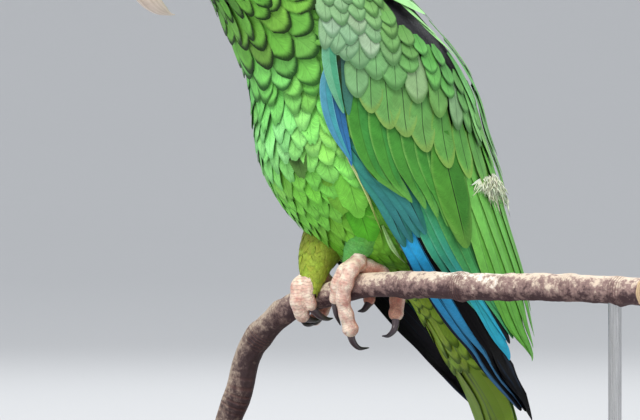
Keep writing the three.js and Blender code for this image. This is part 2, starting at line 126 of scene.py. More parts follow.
# Feet: the place along the branch and the side that a foot is on. A limb has a path and the girths along
# it, and a toe has the path of its claw too. Points are given from the branch's axis: out to the front, up,
# and along the branch away from the other foot.
FEET_AT = {"left": (12.2, 1), "right": (-6, -1)}
SHANK = ([(0.5, 8.6, 2.4), (0.6, 11, 2.9), (0, 15.5, 3)], [4, 3.8, 3.8])
HALLUX = (
    [(-2, 9.2, -0.5), (-7, 6, 0.4), (-9.2, 0.3, 1.6), (-7.2, -5.5, 2.8)], [3.3, 3, 2.8, 2.3],
    [(-6.5, -6.8, 3), (-3, -9.3, 3.2), (0.5, -9.8, 3)],
)
TOES = {
    "left": [
        HALLUX,
        ([(2, 9.6, 1.4), (6.8, 6.6, 0.2), (8.4, 2, -1.4), (7.6, -3.8, -3.2)], [2.9, 2.7, 2.6, 2.3],
         [(7.4, -5, -3.4), (6.4, -10, -3.4), (4, -14.3, -3.2)]),
        ([(1.5, 9.9, 3.6), (6.8, 6.6, 4.3), (8.8, 0.8, 3), (8.2, -5.4, 1.4), (6, -12.4, 1.9),
          (4.8, -17, 2.6)],
         [3.4, 3.2, 3.1, 3, 3, 3.2],
         [(4.3, -18.3, 2), (2.5, -22, 2.1), (-1.5, -24.6, 2.3), (-8, -24.6, 2.1)]),
        ([(-2, 9, 2), (-6.6, 5.6, 7), (-8.8, 1.2, 11.5), (-9.6, -3, 14.6), (-8.6, -8, 15.9),
          (-7, -12, 16.5)],
         [3.7, 3.5, 3.3, 3.1, 3.1, 2.9],
         [(-6.7, -13.4, 16.8), (-5, -17.8, 17.3), (-1, -20.4, 17.3), (3, -20.5, 17.1)]),
    ],
    "right": [
        HALLUX,
        ([(2, 10, 0), (7, 7.2, -1.4), (8.6, 2, -2), (7.6, -3.6, -2.6)], [3.4, 3.1, 2.8, 2.5],
         [(6.6, -5, -2.8), (2.4, -8, -3.2), (-2.4, -9.4, -3.4), (-6, -9.2, -3.4)]),
        ([(2, 9.4, 1.9), (8, 5.6, 2.4), (9.6, 0.8, 2.2), (9, -3.6, 2), (7.2, -6.6, 1.9)],
         [3.8, 3.7, 3.5, 3.3, 2.9],
         [(6.2, -7, 1.9), (2.8, -8.2, 1.7), (-1, -8.7, 1.3), (-4, -8.5, 0.9)]),
        ([(-1.5, 9.6, 2.5), (-6, 7.6, 3.5), (-9.4, 2, 5), (-9.2, -4, 6), (-6.4, -7.5, 6.4)],
         [3.7, 3.5, 3.2, 3, 2.5],
         [(-5.4, -8, 6.4), (-2.4, -9, 6.2), (0.8, -9.2, 5.8), (3.6, -8.4, 5.4)]),
    ],
}


def rgb(code):
    """A colour from its usual #rrggbb code, as the linear values that shaders use."""
    parts = [int(code[i : i + 2], 16) / 255 for i in (1, 3, 5)]
    return np.array([p / 12.92 if p <= 0.04045 else ((p + 0.055) / 1.055) ** 2.4 for p in parts])


# ---- points and directions ----
def circle(count):
    """Evenly spaced turns once round."""
    return np.linspace(0, FULL_TURN, count, endpoint=False)


def grid(first, second):
    return np.meshgrid(first, second, indexing="ij")


def pack(*parts):
    """Coordinates or colours from their separate parts."""
    return np.stack(np.broadcast_arrays(*parts), -1)


def norm(vectors, keep=False):
    return np.linalg.norm(vectors, axis=-1, keepdims=keep)


def unit(vectors):
    return vectors / np.maximum(norm(vectors, keep=True), 1e-9)


def arc_lengths(points):
    """How far along a run of points each of them is."""
    return np.concatenate([[0], np.cumsum(norm(np.diff(points, axis=0)))])


def smoothstep(value, low, high):
    t = np.clip((np.asarray(value) - low) / (high - low), 0, 1)
    return t * t * (3 - 2 * t)


def hump(value, rise, fall):
    """1 between the two ranges, rising over the first and falling over the second."""
    return smoothstep(value, *rise) * (1 - smoothstep(value, *fall))


# ---- smooth shapes ----
def spline(rows):
    """A smooth run through rows of numbers at whole steps, read at any steps, straight beyond the ends."""
    rows = np.asarray(rows, float)
    if rows.ndim == 1:
        rows = rows[:, None]
    padded = np.vstack([2 * rows[0] - rows[1], rows, 2 * rows[-1] - rows[-2]])
    last = len(rows) - 1

    def read(steps):
        steps = np.asarray(steps, float)
        inside = np.clip(steps, 0, last)
        i = np.minimum(inside.astype(int), last - 1)
        f = (inside - i)[..., None]
        a, b, c, d = (padded[i + k] for k in range(4))
        square, cube = 2 * a - 5 * b + 4 * c - d, 3 * b - a - 3 * c + d
        smooth = 0.5 * (2 * b + (c - a) * f + square * f**2 + cube * f**3)
        beyond = (steps - inside)[..., None]
        return smooth + beyond * np.where(beyond > 0, rows[-1] - rows[-2], rows[1] - rows[0])

    return read


BACK, BELLY = (spline([row[i] for row in PROFILE]) for i in (0, 1))
HALF = spline([row[2] for row in PROFILE])
LEAD, TRAIL = (spline([row[i] for row in WING]) for i in (0, 1))
BULGE = spline([row[2:] for row in WING])


def body(station, turn, lift=0):
    """The body at a station of its profile and a turn round it (0 left, pi/2 back), raised by a lift."""
    back, belly = BACK(station), BELLY(station)
    rise = (back - belly) / 2
    rise *= 1 + np.asarray(lift)[..., None] / norm(rise, keep=True)
    yz = (back + belly) / 2 + rise * np.sin(turn)[..., None]
    x = (HALF(station)[..., 0] + lift) * np.cos(turn)
    return np.concatenate([x[..., None], yz], -1)


def wing(step, share, lift=0):
    """The left wing at a step along its ribs and a share from its leading to its trailing edge."""
    lead, trail, bulge = LEAD(step), TRAIL(step), BULGE(step)
    middle = (lead + trail) / 2
    handle = np.concatenate([2 * bulge[..., :1] - middle[..., :1], middle[..., 1:]], -1)
    t = np.asarray(share)[..., None]
    spot = (1 - t) ** 2 * lead + 2 * (1 - t) * t * handle + t**2 * trail
    outward = np.concatenate([1 - 0.65 * t, 0.9 * t, 0 * t], -1)
    outward /= norm(outward, keep=True)
    return spot + outward * np.asarray(lift)[..., None]


def tube(path, girths):
    """A round limb: a surface over the step along a path and the turn round it (0 front, pi/2 left)."""
    centre, girth = spline(path), spline(girths)

    def surface(step, turn, lift=0):
        ahead = unit(centre(step + 0.05) - centre(step - 0.05))
        left = unit(np.cross(ahead, np.array([0.0, -1.0, 0.0])))
        front = np.cross(left, ahead)
        radius = girth(step) + np.asarray(lift)[..., None]
        t = np.asarray(turn)[..., None]
        return centre(step) + radius * (np.cos(t) * front + np.sin(t) * left)

    return surface


FORWARD = np.array([0, -math.cos(HEAD_PITCH), -math.sin(HEAD_PITCH)])
UPWARD = np.array([0, -math.sin(HEAD_PITCH), math.cos(HEAD_PITCH)])


def in_head(along, up, out=0.0):
    """A point given in the head's own axes."""
    along, up, out = (np.asarray(v, float)[..., None] for v in (along, up, out))
    return HEAD_CENTRE + along * FORWARD + up * UPWARD + out * np.array([1.0, 0, 0])


ALONG = np.array([math.cos(BRANCH_YAW), math.sin(BRANCH_YAW), 0])
TO_FRONT = np.array([ALONG[1], -ALONG[0], 0])
UP = np.array([0, 0, 1.0])


def axis_height(at):
    """The height of the branch's axis at a place along it."""
    places, heights = zip(*BRANCH)
    return np.interp(at, places, heights)


# ---- meshes ----
def placed(points):
    """Points given from the branch between the feet, in millimetres, as points of the frame."""
    return (np.asarray(points) + FEET) * MM


def mesh_piece(name, points, quads, material):
    """A smooth mesh object from points of the frame in metres and four-cornered faces."""
    points, quads = np.asarray(points, np.float32), np.asarray(quads, np.int32)
    mesh = bpy.data.meshes.new(name)
    mesh.vertices.add(len(points))
    mesh.vertices.foreach_set("co", points.ravel())
    mesh.loops.add(quads.size)
    mesh.loops.foreach_set("vertex_index", quads.ravel())
    mesh.polygons.add(len(quads))
    mesh.polygons.foreach_set("loop_start", np.arange(0, quads.size, 4, dtype=np.int32))
    mesh.polygons.foreach_set("use_smooth", np.full(len(quads), True))
    mesh.update(calc_edges=True)
    mesh.materials.append(material)
    piece = bpy.data.objects.new(name, mesh)
    bpy.context.scene.collection.objects.link(piece)
    return piece


def grid_quads(rows, columns, closed=False):
    """Faces of a grid of points, row by row; a closed grid's last column meets its first."""
    across = columns if closed else columns - 1
    r, c = grid(np.arange(rows - 1), np.arange(across))
    after = (c + 1) % columns
    here, above = r * columns, (r + 1) * columns
    return pack(here + c, here + after, above + after, above + c).reshape(-1, 4)


def store(mesh, name, kind, values):
    """Stores a vector or a colour for each point of a mesh."""
    attribute = mesh.attributes.new(name, kind, "POINT")
    field = "color" if kind == "FLOAT_COLOR" else "vector"
    attribute.data.foreach_set(field, np.asarray(values, np.float32).ravel())


def outward_faces(points, quads):
    """The faces turned so that the closed shape's volume is positive."""
    a, b, c, d = (points[quads[:, i]] for i in range(4))
    volume = (np.cross(b - a, c - a) * a).sum() + (np.cross(c - a, d - a) * a).sum()
    return quads if volume > 0 else quads[:, ::-1]


def closed_loft(rings):
    """Points and faces of a closed body through rings of points, its ends drawn in to small caps."""
    rings = np.asarray(rings, float)
    first, last = rings[0].mean(0), rings[-1].mean(0)
    start = [first + (rings[0] - first) * k for k in (0.01, 0.5)]
    end = [last + (rings[-1] - last) * k for k in (0.5, 0.01)]
    rings = np.concatenate([start, rings, end])
    points = rings.reshape(-1, 3)
    return points, outward_faces(points, grid_quads(len(rings), rings.shape[1], closed=True))


def limb(path, girths, count, sides, soft_ends=True, flat=1.0):
    """Rings of a limb along a path, with rounded ends unless it comes to a point."""
    steps = np.linspace(0, len(path) - 1, count)
    centres, radii = spline(path)(steps), spline(girths)(steps)[:, 0]
    ahead = unit(np.gradient(centres, axis=0))
    if soft_ends:
        first, last = radii[0], radii[-1]
        centres = np.concatenate([[centres[0] - ahead[0] * 0.5 * first], centres,
                                  [centres[-1] + ahead[-1] * last * k for k in (0.5, 0.85)]])
        radii = np.concatenate([[first * 0.6], radii, [last * 0.8, last * 0.35]])
        ahead = np.concatenate([ahead[:1], ahead, ahead[-1:], ahead[-1:]])
    side = np.array([0.97, 0.21, 0.1])
    turns = circle(sides)[:, None]
    rings = []
    for centre, way, radius in zip(centres, ahead, radii):
        side = unit(side - (side @ way) * way)
        spoke = flat * np.cos(turns) * side + np.sin(turns) * np.cross(way, side)
        rings.append(centre + radius * spoke)
    return np.array(rings)


# ---- materials ----
class Graph:
    """Shader nodes written as calls: each call adds a node and gives the socket that it feeds."""

    def __init__(self, name):
        self.material = bpy.data.materials.new(name)
        self.material.use_nodes = True
        self.tree = self.material.node_tree
        self.shader = self.tree.nodes["Principled BSDF"]

    def node(self, kind, inputs=(), **settings):
        made = self.tree.nodes.new("ShaderNode" + kind)
        for key, value in settings.items():
            setattr(made, key, value)
        for key, value in dict(inputs).items():
            self.feed(made.inputs[key], value)
        return made

    def feed(self, socket, value):
        if isinstance(value, bpy.types.NodeSocket):
            self.tree.links.new(value, socket)
        elif hasattr(value, "__len__") and len(value) == 3 and socket.type == "RGBA":
            socket.default_value = (*value, 1)
        else:
            socket.default_value = value

    def maths(self, operation, *values):
        return self.node("Math", enumerate(values), operation=operation).outputs[0]

    def times(self, first, second):
        return self.maths("MULTIPLY", first, second)

    def plus(self, first, second):
        return self.maths("ADD", first, second)

    def minus(self, first, second):
        return self.maths("SUBTRACT", first, second)

    def size(self, value):
        return self.maths("ABSOLUTE", value)

    def mix(self, share, first, second, blend="MIX"):
        sockets = {0: share, 6: first, 7: second}
        return self.node("Mix", sockets, data_type="RGBA", blend_type=blend).outputs[2]

    def smooth(self, value, low, high, start=0.0, end=1.0):
        sockets = {0: value, 1: low, 2: high, 3: start, 4: end}
        return self.node("MapRange", sockets, interpolation_type="SMOOTHSTEP").outputs[0]

    def attribute(self, name):
        return self.node("Attribute", attribute_name=name)

    def stored(self, name):
        """The three parts of a stored vector."""
        return self.parts(self.attribute(name).outputs["Vector"])

    def parts(self, vector):
        return self.node("SeparateXYZ", {0: vector}).outputs

    def join(self, x, y, z):
        return self.node("CombineXYZ", {0: x, 1: y, 2: z}).outputs[0]

    def noise(self, vector, scale, detail=3.0, roughness=0.55):
        sockets = {"Vector": vector, "Scale": scale, "Detail": detail, "Roughness": roughness}
        return self.node("TexNoise", sockets).outputs["Fac"]

    def place(self):
        return self.node("TexCoord").outputs["Object"]

    def finish(self, colour, roughness, height=None, strength=0.3, distance=0.0003, **sockets):
        """The material with its colour, its roughness, a bump of the given height and any other sockets."""
        self.feed(self.shader.inputs["Base Color"], colour)
        self.feed(self.shader.inputs["Roughness"], roughness)
        for name, value in sockets.items():
            self.feed(self.shader.inputs[name.replace("_", " ")], value)
        if height is not None:
            bump = self.node("Bump", {"Height": height, "Strength": strength, "Distance": distance})
            self.tree.links.new(bump.outputs[0], self.shader.inputs["Normal"])
        return self.material


def feather_material(name, streaks=0.16, roughness=0.58, under=(0.85, (0.012, 0.009, 0.016))):
    """Barbed vanes with a ground colour, a fringe, an inner web, a shaft and barb streaks. The underside is
    given as how strongly it is tinted and with what colour."""
    g = Graph(name)
    across, along, seed = g.stored("vane")
    wide, far, below = g.stored("span")
    tip_band, side_band, shaft = g.stored("marks")
    ground = g.attribute("ground").outputs["Color"]
    inner = g.attribute("inner")
    fringe = g.attribute("fringe").outputs["Color"]
    off_shaft = g.size(across)

    # Barbs leave the shaft at a slant, so streaks run along lines of equal slant.
    slant = g.minus(far, g.times(g.size(wide), 1.5))
    lines = g.join(g.times(slant, 2.4), g.times(wide, 0.35), g.times(seed, 37.0))
    barbs = g.noise(lines, 1.0, detail=4.0, roughness=0.65)
    blotches = g.noise(g.join(wide, far, g.times(seed, 91.0)), 0.16, detail=2.0)
    streaked = g.smooth(barbs, 0.3, 0.7, 1 - streaks, 1 + streaks)
    light = g.plus(streaked, g.smooth(blotches, 0.3, 0.7, -0.1, 0.1))

    inner_share = g.times(g.smooth(across, -0.02, 0.12), inner.outputs["Alpha"])
    colour = g.mix(inner_share, ground, inner.outputs["Color"])
    ragged = g.times(g.minus(barbs, 0.5), 0.16)
    at_tip = g.times(g.smooth(g.plus(along, ragged), 0.82, 0.96), tip_band)
    at_side = g.times(g.smooth(g.plus(off_shaft, ragged), 0.8, 1.0), side_band)
    colour = g.mix(g.maths("MAXIMUM", at_tip, at_side), colour, fringe)
    near_shaft = g.smooth(g.size(wide), 0.08, 0.34, 1.0, 0.0)
    shaft_share = g.times(near_shaft, g.times(shaft, g.smooth(along, 0.8, 0.97, 1.0, 0.0)))
    colour = g.mix(shaft_share, colour, (0.006, 0.008, 0.006))
    grey = g.node("CombineColor", {0: light, 1: light, 2: light}).outputs[0]
    colour = g.mix(1.0, colour, grey, "MULTIPLY")
    colour = g.mix(g.times(below, under[0]), colour, tuple(under[1]))
    height = g.plus(g.times(barbs, 0.7), g.times(near_shaft, 0.5))
    rough = g.smooth(barbs, 0.3, 0.7, roughness - 0.07, roughness + 0.07)
    return g.finish(colour, rough, height, 0.35, Specular_IOR_Level=0.15)


# ---- feathers ----
def vane_shape(u, narrow, widest, end):
    """How wide a vane is along it, as a share of its greatest width."""
    beyond = np.maximum(u - widest, 0) / (1 - widest)
    widening = narrow + (1 - narrow) * smoothstep(u, 0, widest)
    return np.where(u < widest, widening, 1 - (1 - end) * beyond**2.2)


BARE = np.zeros(4)  # an inner web of the same colour as the rest
STRIPS = 6  # long feathers to a side of their map
PATCH = 0.003  # how wide a vane's patch of the map is
BESIDE = 0.48  # how far beside a long feather's top its underside is, in strips


def look(root, tip=None, fringe="#12240c", inner=None, tip_band=0.0, side_band=0.0, shaft=0.0, vary=0.09,
         hold=0.0):
    """The colours of a vane: its ground from root to tip, its fringe, its inner web, how strong each mark
    is, how much vanes differ, and how far along the root's colour holds."""
    return dict(
        root=rgb(root),
        tip=rgb(tip or root),
        fringe=rgb(fringe),
        inner=BARE if inner is None else np.append(rgb(inner), 1.0),
        marks=(tip_band, side_band, shaft),
        vary=vary,
        hold=hold,
    )


class Coat:
    """Vanes laid on one surface and joined into one mesh."""

    STEP = 0.02  # of the surface's own measures, for its slopes

    def __init__(self, surface, unwrap, mirrored=False):
        self.surface, self.unwrap, self.mirrored = surface, unwrap, mirrored
        self.stored = {name: [] for name in ("points", "vane", "span", "ground", "inner", "fringe", "marks")}
        self.quads, self.under, self.patches, self.spots, self.tones = [], [], [], [], []
        self.count = self.vanes = 0

    def slopes(self, a, b, lift):
        """The surface's directions along its two measures and off it, per unit of each."""
        e = self.STEP
        da = (self.surface(a + e, b, lift) - self.surface(a - e, b, lift)) / (2 * e)
        db = (self.surface(a, b + e, lift) - self.surface(a, b - e, lift)) / (2 * e)
        off = unit(self.surface(a, b, lift + 1) - self.surface(a, b, lift))
        return da, db, off

    @staticmethod
    def measures(da, db, vector):
        """How far to go in each of the surface's measures to move by a vector that lies in it."""
        aa, bb, ab = ((p * q).sum(-1) for p, q in ((da, da), (db, db), (da, db)))
        va, vb = (vector * da).sum(-1), (vector * db).sum(-1)
        det = np.maximum(aa * bb - ab * ab, 1e-9)
        return (va * bb - vb * ab) / det, (vb * aa - va * ab) / det

    def tips(self, roots, length, sway):
        """Tips of vanes that run from their roots along the surface's first measure, turned by a sway."""
        a, b = roots.T
        da, db, off = self.slopes(a, b, 0 * a)
        ahead = unit(da)
        side = np.cross(off, ahead)
        way = ahead * np.cos(sway)[:, None] + side * np.sin(sway)[:, None]
        ga, gb = self.measures(da, db, way * np.reshape(length, (-1, 1)))
        return pack(a + ga, b + gb)

    def add(self, roots, tips, width, looks, **shape):
        """Lays straight vanes from roots to tips, given in the surface's measures."""
        self.lay(np.stack([np.atleast_2d(roots), np.atleast_2d(tips)], 1), width, looks, **shape)

    def lay(self, paths, width, looks, rows=7, columns=5, narrow=0.5, end=0.72, widest=0.5, rounded=0.32,
            base=-1.3, rise=1.5, camber=0.4, thick=0.16, curl=0.0, bow=0.0, ragged=0.0, unruly=0.15,
            twist=0.0, shaft_at=0.0):
        """Lays vanes along paths of two or more points each, given in the surface's measures. A vane's
        shaft is at -1 to 1 across it, from root to tip."""
        paths = np.asarray(paths, float)
        count = len(paths)
        looks = looks if isinstance(looks, list) else [looks] * count
        spread = lambda value: (np.asarray(value, float) * np.ones(count))[:, None, None]
        u = np.linspace(0, 1, rows) ** 0.85
        v = np.linspace(-1, 1, columns)
        u, v = (m[None] for m in grid(u, v))

        reach = u * (1 - spread(rounded) * v**2)
        reach = reach + spread(ragged) * RANDOM.uniform(-1, 1, (count, rows, columns)) * u**6
        reach = np.broadcast_to(reach, (count, rows, columns))
        half = spread(width) / 2 * vane_shape(u, narrow, widest, end)
        spot, run = self.follow(paths, reach)
        a, b = spot[..., 0], spot[..., 1] + spread(bow) * np.sin(np.pi * reach)
        loose = RANDOM.normal(0, unruly, count)
        lift = spread(base) + (spread(rise) + loose[:, None, None]) * u**1.3 + spread(curl) * u**5
        lift = lift + spread(camber) * (1 - v**2) * (0.3 + 0.7 * u)
        lift = lift + spread(twist) * v * smoothstep(u, 0, 0.35)
        da, db, off = self.slopes(a, b, lift)
        ahead = unit(da * run[..., :1] + db * run[..., 1:])
        ga, gb = self.measures(da, db, np.cross(off, ahead) * (half * v)[..., None])
        top = self.surface(a + ga, b + gb, lift)
        length = norm(np.diff(top[:, :, columns // 2], axis=1)).sum(1)[:, None, None]
        inside = (slice(None), slice(1, -1), slice(1, -1))
        bottom = self.surface((a + ga)[inside], (b + gb)[inside], lift[inside] - spread(thick))
        points = np.concatenate([top.reshape(count, -1, 3), bottom.reshape(count, -1, 3)], 1)

        def both(top_values, under_values=None):
            """Values on the top's points, then on the underside's own points."""
            full = np.broadcast_to(top_values, (count, rows, columns)).astype(float)
            lower = full[inside] if under_values is None else np.full_like(full[inside], under_values)
            return np.concatenate([full.reshape(count, -1), lower.reshape(count, -1)], 1)

        seed = RANDOM.random(count)[:, None, None]
        shaft_at = np.interp(u, np.linspace(0, 1, np.size(shaft_at)), np.atleast_1d(shaft_at))
        off_shaft = v - shaft_at
        vane = pack(both(off_shaft / (1 - shaft_at * np.sign(off_shaft))), both(u), both(seed))
        span = pack(both(half * off_shaft), both(u * length), both(0.0, 1.0))
        of_looks = lambda key: np.array([one[key] for one in looks], float)
        tone = 0.8 * RANDOM.normal(0, 1, (count, 1)) + 0.5 * RANDOM.normal(0, 1, (count, 3))
        tone = 1 + of_looks("vary")[:, None] * tone
        start, finish = (of_looks(key) * tone for key in ("root", "tip"))
        hold = of_looks("hold")[:, None, None]
        share = np.clip((both(u)[..., None] - hold) / (1 - hold), 0, 1)
        ground = start[:, None] * (1 - share) + finish[:, None] * share
        fill = lambda key: np.repeat(of_looks(key)[:, None], points.shape[1], 1)

        if self.mirrored:
            points = points * (-1, 1, 1)
        middle = rows // 2 * columns + columns // 2
        self.spots.append(points[:, middle])
        self.tones.append(ground[:, middle])
        alpha = np.ones((*ground.shape[:2], 1))
        self.keep(points=points, vane=vane, span=span, inner=fill("inner"), marks=fill("marks"),
                  ground=np.concatenate([np.maximum(ground, 0), alpha], -1),
                  fringe=np.concatenate([fill("fringe"), alpha], -1))
        self.faces(count, rows, columns, points.shape[1])
        self.patch(paths[:, 0], vane)

    @staticmethod
    def follow(paths, reach):
        """The spots at a reach of 0 to 1 along each path, and the ways that the paths run there."""
        last = paths.shape[1] - 1
        if last == 1:
            run = (paths[:, 1] - paths[:, 0])[:, None, None]
            return paths[:, 0, None, None] + run * reach[..., None], run
        along = [spline(path) for path in paths]
        spot = np.array([at(r * last) for at, r in zip(along, reach)])
        run = [at((r + 0.02) * last) - at((r - 0.02) * last) for at, r in zip(along, reach)]
        return spot, np.array(run)

    def keep(self, **values):
        for name, value in values.items():
            self.stored[name].append(value.reshape(-1, value.shape[-1]))

    def faces(self, count, rows, columns, size):
        """Top faces, then underside faces that share the rim of the top."""
        top = grid_quads(rows, columns)
        lower = np.arange(rows * columns).reshape(rows, columns)
        inside = np.arange((rows - 2) * (columns - 2)).reshape(rows - 2, columns - 2)
        lower[1:-1, 1:-1] = rows * columns + inside
        bottom = lower.ravel()[top][:, ::-1]
        one = np.concatenate([top, bottom])
        if self.mirrored:
            one = one[:, ::-1]
        first = self.count + np.arange(count) * size
        self.quads.append((one[None] + first[:, None, None]).reshape(-1, 4))
        self.under.append(np.tile(np.repeat([False, True], len(top)), count))
        self.count += count * size

    def patch(self, roots, vane):
        """A small patch of the map for each vane, at its root's place on the skin's unwrap. With no unwrap,
        each vane has a strip of its own, with room beside it for its underside."""
        if self.unwrap:
            place = self.unwrap(roots[:, 0], roots[:, 1])[:, None]
            patch = place + PATCH * (vane[..., :2] - (0, 0.5)) * (0.5, 1)
        else:
            index = self.vanes + np.arange(len(roots))
            corner = pack(index % STRIPS, index // STRIPS)[:, None]
            patch = (corner + 0.04 + (vane[..., :2] * 0.5 + (0.5, 0)) * (0.4, 0.92)) / STRIPS
        self.vanes += len(roots)
        self.patches.append(patch.reshape(-1, 2))

    def middles(self):
        """A point in the middle of each vane, and the ground colour there."""
        return np.concatenate(self.spots), np.concatenate(self.tones)

    def piece(self, name, material, slot):
        """The joined vanes as one piece that rides on the root."""
        values = {key: np.concatenate(parts) for key, parts in self.stored.items()}
        quads, under = np.concatenate(self.quads), np.concatenate(self.under)
        made = mesh_piece(name, placed(values["points"]), quads, material)
        mesh = made.data
        for key in ("vane", "span", "marks"):
            store(mesh, key, "FLOAT_VECTOR", values[key])
        for key in ("ground", "inner", "fringe"):
            store(mesh, key, "FLOAT_COLOR", values[key])
        self.sharpen(mesh, under)
        layer = mesh.uv_layers.new(name="OFBake")
        uv = np.concatenate(self.patches)[quads]
        if not self.unwrap:
            uv[under] += (BESIDE / STRIPS, 0)
        layer.uv.foreach_set("vector", np.clip(uv, 0, 1).astype(np.float32).ravel())
        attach(made, "root")

    @staticmethod
    def sharpen(mesh, under):
        """Marks each vane's rim as a sharp edge."""
        edges = np.empty(len(mesh.loops), np.int32)
        mesh.loops.foreach_get("edge_index", edges)
        sides = np.zeros(len(mesh.edges), np.int32)
        np.bitwise_or.at(sides, edges, np.repeat(np.where(under, 2, 1), 4))
        rim = mesh.attributes.new("sharp_edge", "BOOLEAN", "EDGE")
        rim.data.foreach_set("value", sides == 3)


def body_unwrap(station, turn):
    """The body's unwrap: round it across, along it up."""
    return pack((turn / FULL_TURN) % 1, station / COVERTS_END)


def wing_unwrap(step, share):
    """A wing's unwrap: from its leading to its trailing edge across, down its ribs along it."""
    return pack(0.02 + 0.96 * share, 0.02 + 0.96 * step / (len(WING) - 1))


# ---- camera, light and floor ----
# The photo's view: degrees round the bird, distance, the point it looks at from the origin, and the lens.
VIEW = dict(azimuth=62, distance=1600, target=(-40.2, -20.2, 137.6), lens=222)


def add_camera():
    azimuth = math.radians(VIEW["azimuth"])
    target = Vector(VIEW["target"])
    place = target + VIEW["distance"] * Vector((math.sin(azimuth), -math.cos(azimuth), 0))
    data = bpy.data.cameras.new("camera")
    data.lens = VIEW["lens"]
    data.clip_start = 0.05
    camera = bpy.data.objects.new("camera", data)
    camera.location = place * MM
    camera.rotation_euler = (target - place).to_track_quat("-Z", "Y").to_euler()
    bpy.context.scene.collection.objects.link(camera)
    bpy.context.scene.camera = camera


# Soft square lights, in metres, degrees and watts: azimuth, height, distance, size, power and colour.
LIGHTS = {
    "key": (40, 1.7, 1.1, 0.7, 26, (1, 0.97, 0.91)),
    "fill": (115, 0.8, 1.7, 1.2, 4, (0.95, 0.98, 1)),
    "back": (245, 1.3, 1.5, 0.9, 8, (0.97, 0.99, 1)),
}
LIT_POINT = Vector((0, 0, 0.16))
# Rings of the studio's floor, in metres: how far out, and how high.
FLOOR_RINGS = [
    (0.0, 0.0), (1.0, 0.0), (3.0, 0.0), (6.0, 0.0), (7.0, 0.07), (8.0, 0.3), (9.0, 0.75), (9.8, 1.4),
    (10.4, 2.3), (10.7, 3.4),
]
SKY, SKY_STRENGTH = (0.93, 0.96, 1.0, 1), 0.84


def add_light(name, azimuth, height, distance, size, power, colour):
    """A soft square light aimed at the bird."""
    data = bpy.data.lights.new(name, "AREA")
    data.size, data.energy, data.color = size, power, colour
    turn = math.radians(azimuth)
    light = bpy.data.objects.new(name, data)
    light.location = (distance * math.sin(turn), -distance * math.cos(turn), height)
    light.rotation_euler = (LIT_POINT - light.location).to_track_quat("-Z", "Y").to_euler()
    bpy.context.scene.collection.objects.link(light)


def add_studio():
    """A pale round floor that curves up into a low wall, open to a pale sky."""
    turns = circle(64)
    x, y = np.cos(turns), np.sin(turns)
    rings = [pack(max(out, 1e-4) * x, max(out, 1e-4) * y, rise) for out, rise in FLOOR_RINGS]
    points = np.concatenate(rings)
    g = Graph("studio_floor")
    speckle = g.smooth(g.noise(g.place(), 900.0), 0.35, 0.65)
    material = g.finish(g.mix(speckle, (0.605, 0.61, 0.62), (0.63, 0.635, 0.645)), 0.85)
    quads = grid_quads(len(FLOOR_RINGS), len(turns), closed=True)
    floor = mesh_piece("studio_floor", points, quads, material)
    world = bpy.data.worlds.new("studio_sky")
    world.use_nodes = True
    colour, strength = world.node_tree.nodes["Background"].inputs[:2]
    colour.default_value, strength.default_value = SKY, SKY_STRENGTH
    bpy.context.scene.world = world
    for name, light in LIGHTS.items():
        add_light(name, *light)
    bpy.context.scene.view_settings.view_transform = "Standard"


# ---- skin ----
# How deep the coat is at each station of the body.
COAT_DEPTH = spline([
    0.6, 1.0, 1.2, 1.6, 2.0, 2.4, 2.8, 3, 3, 3, 3, 3, 3, 3, 3, 2.8, 2.6, 2.4, 2.2, 2, 1.6, 1.2, 0.8, 0.5,
    0.4,
])
UNDER_COAT = 0.22  # how bright the skin under the coat is, as a share of its feathers
EYE_BARE = 6.5  # how far from the middle of the eye the face is bare
FACE_REACH = 24  # how far from the middle of the head the face goes
CERE_EDGE = 17.2  # where the face's feathers stop, along the head
BARE_SKIN_EDGE = 14.6  # where the face's skin is no longer dark, along the head
THIGHS = {  # path and girths
    "left": ([(16, 16, 40), (15, 12, 28), (13.4, 7.6, 17.5), (11.8, 5.6, 12.5)], [13, 11.5, 7.5, 5.2]),
    "right": ([(-13, 16, 38), (-9.5, 8, 24), (-4.6, -3, 10), (-0.6, -7.6, -2.5)], [14, 12, 8, 3.6]),
}


def shell_of(surface, first, second, lift):
    """Rings over a surface's first measure, each round its second."""
    a, b = grid(first, second)
    return surface(a, b, lift(a))


def wing_core(sign):
    """The flesh of a folded wing: a slab under the feathers."""
    rings = []
    share = np.linspace(0.04, 0.95, 14)
    whole = np.ones(len(share))
    for step in np.linspace(0.2, 8.6, 40):
        top = np.interp(step, [3.5, 6], [2.5, 4.6])
        under = max(BULGE(step)[1] - 0.2, top + 1.1)
        outer = wing(step * whole, share, -top * whole)
        inner = wing(step * whole, share[::-1], -under * whole)
        rings.append(np.concatenate([outer, inner]) * (sign, 1, 1))
    return closed_loft(rings)


def joined(name, parts, material=None):
    """One mesh from several closed bodies."""
    points, quads, count = [], [], 0
    for part_points, part_quads in parts:
        points.append(part_points)
        quads.append(part_quads + count)
        count += len(part_points)
    return mesh_piece(name, placed(np.concatenate(points)), np.concatenate(quads), material)


def fused(parts, voxel, smoothing):
    """Points and faces of several closed bodies merged into one and smoothed."""
    piece = joined("fusing", parts)
    remesh = piece.modifiers.new("fuse", "REMESH")
    remesh.mode, remesh.voxel_size = "VOXEL", voxel * MM
    smooth = piece.modifiers.new("smooth", "SMOOTH")
    smooth.factor, smooth.iterations = 0.5, smoothing
    mesh = piece.evaluated_get(bpy.context.evaluated_depsgraph_get()).to_mesh()
    points = np.empty(3 * len(mesh.vertices), np.float32)
    corners = np.empty(len(mesh.loops), np.int32)
    mesh.vertices.foreach_get("co", points)
    mesh.loops.foreach_get("vertex_index", corners)
    bpy.data.objects.remove(piece)
    return points.reshape(-1, 3) / MM - FEET, corners.reshape(-1, 4)


